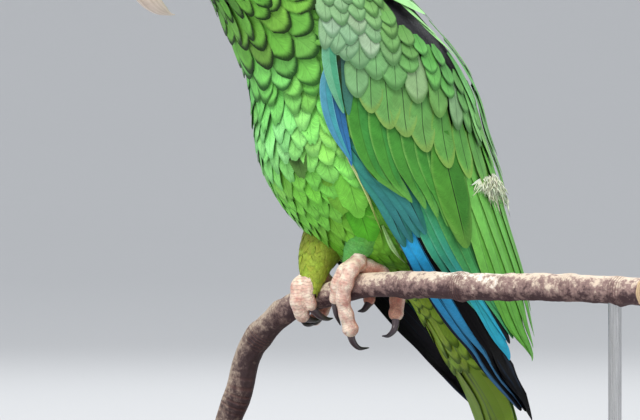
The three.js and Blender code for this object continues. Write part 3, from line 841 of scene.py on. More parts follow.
def on_branch(front, up, at):
    """A point given by how far it is in front of the feet, over them and along the branch."""
    front, up, at = (np.asarray(v, float)[..., None] for v in (front, up, at))
    return front * TO_FRONT + up * UP + at * ALONG


def beside_foot(points, foot):
    """Points given from the branch's axis beside a foot, as points in space."""
    place, side = FEET_AT[foot]
    front, up, out = np.array(points, float).T
    at = place + side * out
    return on_branch(front, up + axis_height(at), at)


LIDS = [  # a ring from the lids out, under itself and back: how far from the middle of the eye, and how high
    (3.65, 1.8), (3.7, 2.7), (3.9, 3.1), (4.1, 3.0), (4.22, 2.7), (4.35, 2.6), (4.47, 2.42), (4.6, 2.36),
    (4.72, 2.22), (4.85, 2.16), (4.97, 2.0), (5.1, 1.92), (5.25, 1.75), (5.4, 1.55), (5.6, 1.2), (5.8, 0.5),
    (5.7, -1.0), (4.0, -1.2), (3.65, 1.8),
]
LID_POINTS = 96
LID_CREASES, CREASE_HEIGHT = 17, 0.13
LID_SINK = 1.85  # how much lower the ring lies where it follows the face


def eye_axes(side):
    """An eye's middle, the way it looks and the way up on it."""
    axis = unit(np.array([side, 0, 0]) + 0.16 * FORWARD + 0.04 * UPWARD)
    return in_head(EYE["along"], EYE["up"], side * EYE["out"]), axis, unit(UPWARD - (UPWARD @ axis) * axis)


def add_lids():
    """Bare rings of skin round the eyes, from the lids to under the feathers, folded into fine creases."""
    parts = []
    s, t = grid(np.linspace(0.3, 5, 160), np.linspace(-0.5 * np.pi, 0.5 * np.pi, 240))
    turns = circle(LID_POINTS)
    for side in (1, -1):
        centre, axis, up = eye_axes(side)
        across = np.cross(axis, up)
        head = body(s, t).reshape(-1, 3) * (side, 1, 1) - centre
        flat, height = pack(head @ across, head @ up), head @ axis
        rings = []
        for radius, rise in LIDS:
            long = 1 + 0.1 * smoothstep(radius, 4, 6)
            spot = radius * pack(np.cos(turns) * long, np.sin(turns))
            away = ((spot[:, None] - flat[None]) ** 2).sum(-1)
            near = np.argpartition(away, 6, axis=1)[:, :6]
            face = height[near].mean(1)
            lie = smoothstep(radius, 4.2, 5.4)
            creases = CREASE_HEIGHT * np.sin(turns * LID_CREASES + 4 * np.sin(turns * 3 + radius))
            creases = creases * smoothstep(radius, 4, 4.8)
            high = rise * (1 - lie) + lie * (face + rise - LID_SINK) + creases
            rings.append(centre + axis * high[:, None] + spot[:, :1] * across + spot[:, 1:] * up)
        points = np.array(rings).reshape(-1, 3)
        parts.append((points, outward_faces(points, grid_quads(len(rings), LID_POINTS, closed=True))))
    return parts


def add_cere():
    """The soft roll over the base of the bill, from gape to gape."""
    path, girths = CERE
    path = path[:-1] + [(along, up, -out) for along, up, out in path[::-1]]
    line = np.array([in_head(*point) for point in path])
    return closed_loft(limb(line, girths[:-1] + girths[::-1], 60, 20))


NOSTRIL = dict(along=19.4, up=6.3, out=3.4)
NOSTRIL_RINGS = [(1.9, -1.4), (1.8, -0.3), (1.45, 0.25), (1.05, 0.2), (0.8, -0.3), (0.7, -0.9)]
NOSTRIL_POINTS = 20


def add_nostrils():
    """Swollen rims round the nostrils, on the cere over the base of the bill."""
    parts = []
    turns = circle(NOSTRIL_POINTS)[:, None]
    for side in (1, -1):
        centre = in_head(NOSTRIL["along"], NOSTRIL["up"], side * NOSTRIL["out"])
        axis = unit(0.75 * FORWARD + 0.45 * UPWARD + np.array([0.45 * side, 0, 0]))
        across = unit(np.cross(axis, UPWARD))
        spoke = np.cos(turns) * across + np.sin(turns) * np.cross(across, axis)
        parts.append(closed_loft([centre + axis * rise + radius * spoke for radius, rise in NOSTRIL_RINGS]))
    return parts


def skin_material():
    """Skin in its stored colours, with fine wrinkles, and scutes along the tops of the toes."""
    g = Graph("skin")
    place = g.place()
    arc, top, scaly = g.stored("lie")
    ground = g.attribute("ground").outputs["Color"]
    mottle = g.noise(place, 900.0)
    wobble = g.times(g.noise(place, 420.0, detail=1.0), 1.4)
    ring = g.maths("PINGPONG", g.plus(g.maths("DIVIDE", arc, 1.05), wobble), 0.5)
    crease = g.smooth(ring, 0.0, 0.17, 1.0, 0.0)
    on_top = g.smooth(top, 0.35, 0.75)
    sockets = {"Vector": place, "Scale": 1150.0, "Randomness": 0.85}
    cells = g.node("TexVoronoi", sockets, feature="DISTANCE_TO_EDGE")
    between = g.smooth(cells.outputs["Distance"], 0.02, 0.2, 1.0, 0.0)
    groove = g.plus(g.times(crease, on_top), g.times(between, g.minus(1.0, on_top)))
    groove = g.times(groove, scaly)
    mottled = g.times(g.smooth(mottle, 0.35, 0.7), 0.4)
    colour = g.mix(mottled, ground, (0.75, 0.72, 0.7), "MULTIPLY")
    colour = g.mix(g.times(groove, 0.36), colour, (0.33, 0.19, 0.15))
    height = g.minus(g.times(mottle, 0.25), groove)
    rough = g.smooth(mottle, 0.3, 0.7, 0.45, 0.62)
    return g.finish(colour, rough, height, 0.75, 0.00025, Subsurface_Weight=0.08, Subsurface_Scale=0.002)


PADS = dict(swell=0.07, pitch=6.4)  # the pads under the toes


def limbs_of(foot):
    """The path and the girths of the shank and of each toe of a foot."""
    return [SHANK] + [toe[:2] for toe in TOES[foot]]


def toe_line(path, girths, foot):
    """A toe's middle line and girths, closely spaced, with pads swollen between its joints."""
    steps = np.linspace(0, len(path) - 1, 30)
    way = spline(beside_foot(path, foot))(steps)
    arc = arc_lengths(way)
    pads = 1 + PADS["swell"] * np.cos(FULL_TURN * (arc - arc[-1]) / PADS["pitch"])
    return way, spline(girths)(steps)[:, 0] * pads


def foot_lie(points):
    """For points of the feet: the length along the nearest limb, how far on its top the point is, and the
    number of the limb (0 shank, 1 back toe)."""
    runs = []
    for foot in FEET_AT:
        for number, (path, girths) in enumerate(limbs_of(foot)):
            steps = np.linspace(0, len(path) - 1, 60)
            way = spline(beside_foot(path, foot))(steps)
            at = way @ ALONG
            outward = way - on_branch(0 * at, axis_height(at), at)
            ahead = unit(np.gradient(way, axis=0))
            if number == 0:
                outward = outward * 0 + TO_FRONT
            top = unit(outward - (outward * ahead).sum(-1, keepdims=True) * ahead)
            runs.append((way, top, arc_lengths(way), np.full(60, number), spline(girths)(steps)[:, 0]))
    samples, tops, arcs, numbers, girth_at = (np.concatenate(v) for v in zip(*runs))
    nearest = np.empty(len(points), int)
    for start in range(0, len(points), 4000):
        some = slice(start, start + 4000)
        nearest[some] = (norm(points[some, None] - samples[None]) / girth_at).argmin(1)
    top = (unit(points - samples[nearest]) * tops[nearest]).sum(-1)
    return arcs[nearest], top, numbers[nearest]


def tree_of(points):
    """A search tree for the nearest of some points."""
    tree = KDTree(len(points))
    for i, point in enumerate(points):
        tree.insert(point, i)
    tree.balance()
    return tree


# The skin under this gap is painted near black: painted shade in the gap between the coverts and the mantle.
GAP = [  # the dark gap between the left wing's upper coverts and the mantle: step, first and last share
    (1.0, 0.42, 0.6), (1.7, 0.44, 0.8), (2.1, 0.48, 0.93), (2.5, 0.6, 0.96), (2.9, 0.7, 0.97),
    (3.6, 0.84, 0.95),
]


def in_gap(step, share):
    """Which places of the left wing's chart are in the gap."""
    steps, low, high = zip(*GAP)
    inside = (share > np.interp(step, steps, low)) & (share < np.interp(step, steps, high))
    return inside & (step > 1.05) & (step < 3.55)


def near_gap(points):
    """Which points of the skin lie under the gap."""
    steps, shares = grid(np.linspace(1.3, 3.3, 40), np.linspace(0.45, 0.96, 40))
    inside = in_gap(steps, shares)
    tree = tree_of(wing(steps[inside], shares[inside], np.full(inside.sum(), -2.4)))
    near = np.zeros(len(points), bool)
    some = np.nonzero(points[:, 0] > 10)[0]
    near[some] = [tree.find(points[i])[2] < 2.5 for i in some]
    return near


def trunk_colours(points, coats):
    """The skin's colours under the coat: dark versions of the nearest feathers, bare on the face, and near
    black under the left wing's gap as painted shade.
    """
    places, colours = (np.concatenate(v) for v in zip(*(coat.middles() for coat, *_ in coats)))
    tree = tree_of(places)
    under = np.array([colours[tree.find(point)[1]] for point in points]) * UNDER_COAT
    from_centre = points - HEAD_CENTRE
    face = (from_centre @ FORWARD > BARE_SKIN_EDGE) & (norm(from_centre) < FACE_REACH)
    # Painted shade: the skin under the left wing's gap is near black.
    under[near_gap(points)] = rgb("#0b0812")
    under[face] = rgb("#8a5a4c")
    return under


def feet_colours(points, top, number):
    """Pale pinkish feet, browner on the soles, in patches, and darker on the back toes as painted shade."""
    sole = smoothstep(-top, -0.2, 0.5)[:, None]
    patch = [noise.noise(Vector(p) * 0.35) + 0.6 * noise.noise(Vector(p) * 0.9) for p in points]
    patch = np.array(patch)[:, None]
    # Painted shade: the back toes, which lie under the branch, are darkened.
    back_toe = (number == 1)[:, None] * 0.35
    colour = rgb("#f4d6c4") * (1 - sole) + rgb("#d89880") * sole
    return colour * np.clip(1 + 0.55 * patch * (0.5, 1, 1), 0.3, 1.3) * (1 - back_toe * (0.35, 0.6, 0.5))


def head_skin_colours(cere, nostrils):
    """The colours of the rings round the eyes, of the cere and of the nostrils, whose insides are painted
    dark as painted shade.
    """
    radius = np.repeat([radius for radius, _ in LIDS], LID_POINTS)[:, None]
    lid, ring = rgb("#7d726b"), rgb("#cbc3ba")
    colours = 2 * [lid + smoothstep(radius, 4.0, 4.7) * (ring - lid)]
    colours.append(np.tile(rgb("#d8c4b8"), (len(cere[0]), 1)))
    for points, _ in nostrils:
        tones = np.tile(rgb("#d3bcb0"), (len(points), 1))
        # Painted shade: the inner rings of each nostril are dark brown.
        tones[-5 * NOSTRIL_POINTS :] = rgb("#2e1f1c")
        colours.append(tones)
    return colours


def add_skin(coats):
    """The skin under the coat: body, folded wings and thighs merged, with the bare feet, the rings of the
    eyes and the cere."""
    stations, turns = np.linspace(0, 20.6, 120), circle(72)
    rings = shell_of(body, stations, turns, lambda a: -COAT_DEPTH(a)[..., 0])
    parts = [closed_loft(rings), wing_core(1), wing_core(-1)]
    for path, girths in THIGHS.values():
        steps = np.linspace(0, len(path) - 1, 16)
        parts.append(closed_loft(shell_of(tube(path, girths), steps, turns[::3], lambda a: -0.9 + 0 * a)))
    trunk = fused(parts, voxel=0.9, smoothing=4)
    lines = [toe_line(path, girths, foot) for foot in FEET_AT for path, girths in limbs_of(foot)]
    feet = fused([closed_loft(limb(*line, 60, 28)) for line in lines], voxel=0.3, smoothing=5)
    lids, nostrils, cere = add_lids(), add_nostrils(), add_cere()
    skin = joined("skin", [trunk, feet, *lids, cere, *nostrils], skin_material())

    arc, top, number = foot_lie(feet[0])
    under = trunk_colours(trunk[0], coats)
    on_feet = feet_colours(feet[0], top, number)
    ground = np.concatenate([under, on_feet, *head_skin_colours(cere, nostrils)])
    store(skin.data, "ground", "FLOAT_COLOR", np.concatenate([ground, np.ones((len(ground), 1))], -1))
    lie = np.zeros_like(ground)
    lie[len(under) : len(under) + len(arc)] = pack(arc, top, 1.0)
    store(skin.data, "lie", "FLOAT_VECTOR", lie)
    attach(skin, "root")
    flesh = [f"{part}_{side}" for part in ("wing", "thigh", "foot") for side in ("left", "right")]
    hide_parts("head", "neck", "trunk", "tail", *flesh)


# ---- coat ----
def tinted(base, root, tip=None, **changes):
    """A look with other ground colours, given in linear values."""
    return dict(base, root=np.asarray(root), tip=np.asarray(root if tip is None else tip), **changes)


def blend(spots, at, reach):
    """Colours at some places, mixed from spots of a surface by how near each is. A spot has its two
    measures and its colours."""
    places = np.array([spot[:2] for spot in spots], float)
    colours = np.array([[rgb(c) for c in spot[2:]] for spot in spots])
    gap = (((at[:, None] - places[None]) / reach) ** 2).sum(-1)
    weight = 1 / (gap + 0.02) ** 2
    weight /= weight.sum(1, keepdims=True)
    return np.einsum("ij,jkl->ikl", weight, colours)


# Body colours by station and by degrees from the belly: ground at the root, ground at the tip, fringe.
BODY_SPOTS = [
    (1.5, 10, "#4f9239", "#66ae47", "#1c3a14"),
    (3, 120, "#44863a", "#5aa244", "#12260c"),
    (6, 30, "#559a34", "#72b848", "#0c1f0a"),
    (6, 150, "#3f7c30", "#56963f", "#0a180a"),
    (8, 20, "#5c9c34", "#7cc04c", "#0c1f0a"),
    (8, 90, "#589838", "#74b648", "#0c1f0a"),
    (9, 170, "#417c30", "#58963f", "#0c1a0a"),
    (10.3, 10, "#62b448", "#8ae274", "#174516"),
    (10.3, 60, "#5ca63c", "#7ccc58", "#174516"),
    (12, 10, "#74cc62", "#9cf092", "#34783a"),
    (12, 50, "#74c44c", "#94e470", "#34783a"),
    (12.5, 170, "#427e30", "#5a9a40", "#0e1f0c"),
    (14, 20, "#68b836", "#88de58", "#347020"),
    (15.5, 40, "#66ac28", "#84d444", "#336a18"),
    (16, 160, "#4f9238", "#6ab24a", "#16340f"),
    (18, 20, "#7c9e20", "#9cc238", "#4c6c14"),
    (20, 20, "#7a9c24", "#98bc3c", "#4c6c14"),
    (20, 160, "#559238", "#72ae4a", "#16340f"),
]
# Widths of the feathers and pitches of their rows at each station of the body.
FEATHER_WIDTH = spline([
    1.3, 1.6, 2.0, 2.8, 4.2, 6.4, 9.4, 11.8, 13.2, 13, 11.4, 10.2, 9.6, 9.8, 9.8, 9.2, 8.6, 8.6, 9.5, 10.5,
    11, 10, 10, 10, 10,
])
ROW_PITCH = spline([
    1, 1.2, 1.5, 2, 2.9, 4.2, 5.6, 6.4, 6.8, 7, 6.8, 6.4, 6, 6.2, 6.2, 5.6, 5.4, 5.8, 6.5, 7.5, 8, 7, 7,
    7, 7,
])
COVERTS_END = 19.7  # the last station with body feathers
SPACING = 0.74  # from feather to feather in a row, in widths
LENGTH = 2.5  # of a feather, in pitches of the rows
SCATTER = (0.02, 0.015)  # how far roots stray, in stations and in turn
REGIONS = [  # first and last station of each coat piece of the body
    ("face", 0, 3), ("head", 3, 5.5), ("neck", 5.5, 9), ("breast", 9, 13), ("belly", 13, 16.5),
    ("rump", 16.5, 25),
]
LONG_FLANK = (14.35, 318)  # where the long flank feathers lie: station, degrees
DARK_FEATHER = (12.6, 297)  # the feather over the left leg with a near-black root, a painted shade of a hole in the coat: station, degrees


def body_roots():
    """Where the body's feathers grow, as (station, turn): rows counted up from the tail, each set between
    the places of the one before."""
    stations = np.linspace(0, COVERTS_END, 800)
    turns = np.radians(np.arange(0, 361, 3.0))
    s, t = grid(stations, turns)
    pace = norm(body(s + 0.01, t) - body(s - 0.01, t)) / 0.02 / ROW_PITCH(s)[..., 0]
    count = np.cumsum(pace[::-1], 0)[::-1] * stations[1]
    rows = []
    for row in range(1, int(count.max())):
        at = np.array([np.interp(-row, -column, stations, left=-1, right=-1) for column in count.T])
        spot = body(np.maximum(at, 0), turns)
        gap = norm(np.diff(spot, axis=0)) / (SPACING * FEATHER_WIDTH(np.maximum(at[:-1], 0))[:, 0])
        sums = np.concatenate([[0], np.cumsum(gap)])
        number = max(int(round(sums[-1])), 3)
        where = (np.arange(number) + 0.5 * (row % 2)) / number * sums[-1]
        turn = np.interp(where, sums, turns)
        station = np.interp(turn, turns, at)
        rows.append(pack(station, turn)[station > 0.05])
    return np.concatenate(rows)


def from_belly(turn):
    """Degrees round the body from the middle of the belly, 180 on the back."""
    return np.degrees(np.abs((turn - 1.5 * np.pi + np.pi) % FULL_TURN - np.pi))


def bare(spots):
    """Where the face has no feathers: round the eyes and over the base of the bill."""
    near_eye = np.zeros(len(spots), bool)
    for side in (1, -1):
        near_eye |= norm(spots - eye_axes(side)[0]) < EYE_BARE
    from_centre = spots - HEAD_CENTRE
    return near_eye | ((from_centre @ FORWARD > CERE_EDGE) & (norm(from_centre) < FACE_REACH))


def body_looks(middle, soft):
    """The looks of the body's feathers by where their middles are, with softer marks on the soft ones."""
    station, degrees = middle[:, 0], np.degrees(middle[:, 1])
    around = from_belly(middle[:, 1])
    tones = blend(BODY_SPOTS, pack(station, around), (1.0, 28.0))
    brow = ((1 - smoothstep(station, 0.75, 1.15)) * smoothstep(around, 85, 110))[:, None, None]
    red = np.array([rgb("#8f1d12"), rgb("#bf3018"), rgb("#5a120c")])
    tones = tones * (1 - brow) + brow * red
    # Painted shade: the feather nearest that place gets a near-black root, standing for a shaded hole in the
    # coat.
    dark = np.argmin(np.hypot((station - DARK_FEATHER[0]) * 10, degrees - DARK_FEATHER[1]))
    tones[dark] = [rgb("#120a0c"), rgb("#5c8840"), rgb("#4c7034")]
    base = look("#000000", shaft=0.15, vary=0.1)
    return [
        tinted(base, *tone[:2], fringe=tone[2], marks=(0.95 - 0.5 * s, 0.4 - 0.2 * s, 0.15 + 0.1 * s))
        for tone, s in zip(tones, soft)
    ]


def add_body_coat():
    """The feathers of the body, in rows that overlap, as one coat for each region."""
    roots = body_roots()
    roots += RANDOM.normal(0, 1, roots.shape) * SCATTER
    station, around = roots[:, 0], from_belly(roots[:, 1])
    coat = Coat(body, body_unwrap)
    length = LENGTH * ROW_PITCH(station)[:, 0] * RANDOM.normal(1, 0.08, len(roots))
    on_neck = hump(station, (4.5, 6.5), (9, 11))
    sway = 0.42 * on_neck * np.cos(roots[:, 1]) * (1 - smoothstep(around, 100, 150))
    tips = coat.tips(roots, length, sway + RANDOM.normal(0, 0.1, len(roots)))
    middle = (roots + tips) / 2
    keep = ~bare(body(*roots.T)) & ~bare(body(*tips.T)) & ~bare(body(*middle.T))
    off_station = np.abs(middle[:, 0] - LONG_FLANK[0]) > 0.9
    keep &= off_station | (np.abs(np.degrees(middle[:, 1]) - LONG_FLANK[1]) > 8.5)
    roots, tips, middle = roots[keep], tips[keep], middle[keep]

    station, around = middle[:, 0], from_belly(middle[:, 1])
    soft = smoothstep(station, 9.6, 11.4) * (1 - smoothstep(around, 85, 120))
    soft = soft * (1 - smoothstep(station, 16.5, 18))
    wide = hump(station, (12, 13), (16, 17)) * smoothstep(around, 20, 45)
    wide = wide * (1 - smoothstep(around, 90, 110))
    looks = np.array(body_looks(middle, soft))
    material = feather_material("plumage_body")
    coats = []
    for name, low, high in REGIONS:
        some = (roots[:, 0] >= low) & (roots[:, 0] < high)
        depth, width = (measure(roots[some, 0])[:, 0] for measure in (COAT_DEPTH, FEATHER_WIDTH))
        loose = soft[some]
        shape = dict(
            rows=7 if name == "face" else 9,
            columns=5 if name == "face" else 9,
            end=0.94 - 0.2 * loose.mean(),
            rounded=0.2 + 0.14 * loose,
            ragged=0.01 + 0.05 * loose,
            base=-depth * 0.75,
            rise=depth * 0.75 + 0.15,
            camber=0.05 * width,
            thick=0.1 + 0.01 * width,
            unruly=0.05 + 0.2 * loose.mean(),
            curl=-0.2 - 0.2 * loose,
            twist=RANDOM.normal(0, 0.25, some.sum()),
        )
        coat = Coat(body, body_unwrap)
        fluffed = width * (1 - 0.12 * loose) * (1 + 0.3 * wide[some])
        coat.add(roots[some], tips[some], fluffed, list(looks[some]), **shape)
        if name == "belly":
            add_flank(coat)
        slot = "plumage_head" if name in ("face", "head", "neck") else "plumage_body"
        coats.append((coat, "coat_" + name, material, slot))
    return coats


# Long soft feathers along the leading edge of the left wing, and pale edges between them: stations and
# degrees round the body, width, looks, height.
FLANK = [
    ([(12.9, 314), (13.7, 312), (14.6, 309.5)], 12, look("#64a030", "#80c444", "#3f7c20"), -1.9),
    ([(13.7, 320), (14.6, 318), (15.6, 314.5)], 15, look("#4c9828", "#64c834", "#2c6a18"), -2.1),
    ([(12.8, 321), (13.6, 320), (14.75, 317)], 14, look("#64b03c", "#84d850", "#4c942c"), -1.6),
    ([(15.1, 327), (15.8, 326), (16.45, 324.5)], 2.4, look("#a8e080", "#ccf8b0", "#a8e084"), 0.9),
    ([(13.0, 323.5), (14.0, 326.3), (15.3, 325)], 1.3, look("#f0f8b8", "#b8dc60", "#d0e888"), 1.1),
]
FLANK_SHAPE = dict(
    rows=18, columns=11, camber=0.7, widest=0.6, rounded=0.2, ragged=0.03, thick=0.2, unruly=0.02,
)


def add_flank(coat):
    """The long feathers of the flank, added to the belly's coat."""
    for path, width, colours, base in FLANK:
        path = np.array(path) * (1, math.pi / 180)
        rise, end = (2.2, 0.88) if width > 8 else (0.7, 0.4)
        colours = dict(colours, vary=0.02, marks=(0.3, 0.3, 0.4))
        coat.lay([path], width, colours, base=base, rise=rise, end=end, **FLANK_SHAPE)


# ---- wings ----
# Covert colours by step and share of the wing: ground at the root, ground at the tip, fringe.
WING_SPOTS = [
    (1.0, 0.1, "#749e68", "#84ae7c", "#3f6a3c"),
    (2.2, 0.1, "#7ba577", "#8bb58c", "#55805a"),
    (2.3, 0.25, "#7aa572", "#88b184", "#4f7a50"),
    (3.2, 0.12, "#6f9f66", "#7fae7c", "#4a774b"),
    (1.0, 0.4, "#5f9448", "#78aa60", "#27511f"),
    (2.2, 0.42, "#5f9448", "#78aa60", "#27511f"),
    (3.4, 0.35, "#649f55", "#74ab64", "#36662e"),
    (3.0, 0.6, "#57a04a", "#6fb860", "#1d4a1d"),
    (4.2, 0.25, "#5d9750", "#6fa35c", "#7f9f4c"),
    (4.6, 0.45, "#5f9a50", "#78a95c", "#5c8a3f"),
    (5.4, 0.35, "#559048", "#6a9d50", "#8ea852"),
    (4.4, 0.7, "#5a9a50", "#74b060", "#2c5c28"),
    (4.4, 0.95, "#5a9c4c", "#7fc070", "#1d4a1d"),
    (5.8, 0.55, "#4f8f3f", "#66a84c", "#86ac4c"),
    (5.8, 0.95, "#5aa33a", "#7cc45c", "#2c5c1c"),
]
SHEEN_SPOTS = [(1.75, 0.06), (1.95, 0.2), (2.4, 0.24), (3.75, 0.4), (4.5, 0.66)]  # where covert tips are painted pale grey, a painted sheen
SHEEN_REACH = (0.28, 0.045)  # how far from there, in steps and in shares
PALE, PALING = rgb("#c3c8c0"), 0.32


def lean(share):
    """How much further back a covert's root is than its tip, in share per step."""
    return np.clip(0.14 * share, 0, 0.08)


def covert_looks(at, shaft):
    """The looks of coverts by where they are on the wing."""
    tones = blend(WING_SPOTS, at, (0.7, 0.12))
    looks = []
    base = look("#000000", vary=0.05)
    for place, tone in zip(at, tones):
        # Painted sheen: tips near these spots are paled towards grey.
        far = ((place - SHEEN_SPOTS) / SHEEN_REACH) ** 2
        sheen = PALING * np.exp(-far[:, 0] - far[:, 1]).max()
        root, tip = (tone[i] * (1 - sheen) + sheen * PALE for i in (0, 1))
        looks.append(tinted(base, root, tip, fringe=tone[2], marks=(0.75, 0.55, shaft)))
    return looks


FRONT_SHAFT = (0, -0.15, -0.25, -0.28, -0.3, -0.42, -0.48, -0.42, -0.35)
NEXT_SHAFT = (0, -0.15, -0.28, -0.28, -0.2, -0.3, -0.52, -0.48, -0.4)
SHAFT = (0.1, -0.1, -0.35, -0.5, -0.5)
# Leading edges of the flight feathers of a folded wing, as (step, millimetres from the wing's leading edge),
# with width, height, place of the shaft and kind.
PRIMARIES = [
    ([(6.2, 5), (7.9, 4.2), (8.5, 0.6), (10.3, -0.9), (11, 1.3), (13.2, 0.4)],
     12, -4.3, FRONT_SHAFT, "edge"),
    ([(6.0, 5), (7.9, 4), (8.4, 1.7), (10.3, -0.2), (10.7, 2.6), (11.6, 3.2), (12.5, 1.6), (13.6, 0.8)],
     15, -3.95, FRONT_SHAFT, "blue"),
    ([(5.9, 9), (8.3, 7.9), (10.2, 6.6), (10.9, 9), (12.1, 9.6), (13.6, 3)], 15, -3.7, NEXT_SHAFT, "blue"),
    ([(5.8, 15), (8.5, 14.6), (10.5, 14.0), (12.1, 13.4), (13.9, 2.2)], 13, -3.4, SHAFT, "black"),
    ([(5.7, 18), (8.5, 17.6), (10.8, 17), (12.6, 11.5)], 12, -3.3, SHAFT, "black"),
    ([(5.6, 22), (8.5, 20.5), (10.5, 18.8), (12, 15)], 11, -3.0, SHAFT, "black"),
]
SECONDARIES = [
    ([(5.5, 15.5), (7.7, 14.9), (8.9, 15.9), (10.2, 20)], 13, -2.1, SHAFT, "teal"),
    ([(5.5, 20), (7.7, 20), (8.7, 22.3), (10, 23), (10.8, 22), (11.6, 24)], 13, -1.95, SHAFT, "azure"),
    ([(5.4, 25), (7.8, 24), (8.6, 26.6), (10, 29), (10.9, 29)], 13, -1.8, SHAFT, "cyan"),
    ([(5.3, 30), (7.7, 28.5), (8.6, 30.5), (10, 34), (10.7, 34)], 13, -1.65, SHAFT, "green"),
    ([(5.2, 35), (7.7, 34), (8.6, 34.5), (10, 38), (10.6, 39)], 13, -1.5, SHAFT, "green"),
]
TERTIALS = [
    ([(5.0, 48), (7.1, 45), (7.8, 41.5), (8.6, 40), (9.8, 38), (10.5, 37), (11.15, 45)],
     16, -1.2, SHAFT, "leaf"),
    ([(5.0, 55), (7.1, 53), (8.4, 49.5), (9.8, 46), (10.6, 43.5), (11.3, 44.5)], 16, -1.05, SHAFT, "leaf"),
    ([(5.0, 65), (7.1, 61), (8.4, 58), (9.8, 54), (10.8, 49)], 15, -0.9, SHAFT, "leaf"),
    ([(5.0, 74), (7.1, 70), (8.4, 66), (9.8, 61), (10.4, 57)], 14, -0.8, SHAFT, "leaf"),
    ([(5.0, 84), (7.1, 78), (8.4, 73), (9.6, 66)], 13, -0.7, SHAFT, "leaf"),
]
FLIGHT_LOOKS = dict(
    edge=look("#23324a", "#232330", "#30303e", inner="#020206", side_band=0.4, shaft=0.6, vary=0.02),
    blue=look("#33b2f4", "#3f5674", "#4c6480", "#010206", side_band=0.25, shaft=0.8, vary=0.03, hold=0.33),
    black=look("#04040a", "#030206", "#0a0910", "#010103", side_band=0.2, shaft=0.6, vary=0.03),
    teal=look("#3f9a6c", "#3aa08c", "#8fc07c", "#03040a", side_band=0.35, shaft=0.4, vary=0.04),
    cyan=look("#3f9a68", "#2cb4de", "#7cc49c", "#03040a", side_band=0.35, shaft=0.4, vary=0.04, hold=0.35),
    azure=look("#3f9a68", "#2cb4de", "#7cc49c", side_band=0.35, shaft=0.4, vary=0.04, hold=0.35),
    green=look("#4c9c40", "#45a468", "#8cc46c", "#2c6a34", side_band=0.35, shaft=0.4, vary=0.05),
    leaf=look("#86d864", "#54962c", "#a0d468", "#64ac40", side_band=0.3, shaft=0.4, vary=0.07, hold=0.15),
)
FLIGHT = dict(
    rows=26, columns=11, narrow=0.75, widest=0.25, rounded=0.1, thick=0.22, unruly=0.03, camber=0.25,
    rise=0.2, twist=-0.4,
)
CURL_FROM, CURL = 11.8, 2.4  # the step past which flight feathers curl up, and millimetres for each step
# Coverts given by their leading edges and heights.
PRIMARY_COVERTS = [
    ([(5.95, 3.6), (6.6, 0.3), (8.1, -0.3)], -2.3),
    ([(5.3, 3), (6.8, 3), (7.95, 4)], -2.1),
    ([(5.4, 7), (6.8, 7), (7.8, 8.5)], -1.9),
    ([(5.5, 11), (6.8, 11), (7.72, 12.2)], -1.7),
]
GREATER_COVERTS = [
    ([(3.4, 12), (4.1, 10.6), (4.7, 8.6), (5.4, 6), (6.1, 3.4), (6.55, 5), (7.0, 10.5)], -1.2),
    ([(3.8, 21), (4.6, 18.5), (5.2, 15.5), (5.9, 11.5), (6.5, 9.8), (7.1, 12.5)], -1.1),
    ([(4.2, 29), (5, 25), (5.9, 19.5), (6.5, 17.2), (7.2, 17.5)], -1.0),
    ([(4.5, 34), (5.3, 30), (6, 26), (6.6, 23), (7.35, 21.5)], -0.95),
    ([(4.8, 39), (5.6, 34.5), (6.4, 30), (7.5, 25)], -0.9),
    ([(5.1, 43), (5.9, 38.5), (6.8, 33), (7.68, 27.5)], -0.85),
]
PRIMARY_COVERT = look(
    "#3c9a80", "#3a8488", "#245e58", "#2c7468", side_band=0.35, tip_band=0.35, shaft=0.9, vary=0.05,
)
GREATER_COVERT = look(
    "#3d8434", "#50953a", "#7ab257", "#3f8a3c", side_band=0.7, tip_band=0.35, shaft=0.3, vary=0.05,
)
LAST_COVERT = look(
    "#43882f", "#579436", "#74a24a", "#3d7c2c", side_band=0.4, tip_band=0.4, shaft=1.0, vary=0.02,
)
# Median coverts in runs: roots and tips as (step, share), number, widths, strength of the shaft, and shape.
MEDIAN_COVERTS = [
    ([(4.9, 0.95), (4.5, 0.66), (3.6, 0.36), (2.7, 0.17)],
     [(6.4, 0.93), (6.5, 0.8), (6.35, 0.66), (6.12, 0.53), (5.83, 0.41), (5.28, 0.335), (5.08, 0.26),
      (4.6, 0.19), (4.1, 0.14)],
     10, [11, 12, 13, 14, 13], 0.8, dict(base=-0.7, rise=1.2, twist=-0.25, end=0.93)),
    ([(4.0, 0.98), (4.05, 0.9), (3.6, 0.71), (3.15, 0.56), (2.6, 0.395), (2.15, 0.26), (1.7, 0.15),
      (1.4, 0.085)],
     [(5.5, 0.98), (5.5, 0.84), (5.0, 0.62), (4.55, 0.47), (4.0, 0.33), (3.55, 0.22), (3.1, 0.13),
      (2.8, 0.07)],
     11, [10, 11, 12.5, 13.5, 12.5], 0.6, dict(base=-0.5, rise=1.2, twist=-0.2, end=0.95)),
    ([(1.3, 0.1), (1.2, 0.02)], [(2.75, 0.06), (2.6, 0.01)],
     2, [9, 9], 0.4, dict(base=-0.1, rise=1.0, end=0.95)),
]
COVERT = dict(rows=11, columns=9, narrow=0.6, rounded=0.28, thick=0.18, unruly=0.05)
LONG_COVERT = dict(COVERT, rows=18)


def chord(step):
    """How wide the folded wing is at a step."""
    return arc_lengths(wing(np.full(33, float(step)), np.linspace(0, 1, 33)))[-1]


def along_edge(edge, width, narrow, widest, end, count):
    """The middle line of a vane, as (step, share), from its leading edge."""
    steps, leads = np.array(edge, float).T
    u = np.linspace(0, 1, count)
    step = steps[0] + (steps[-1] - steps[0]) * u
    middle = np.interp(step, steps, leads) + width / 2 * vane_shape(u, narrow, widest, end)
    return pack(step, middle / [chord(at) for at in step])


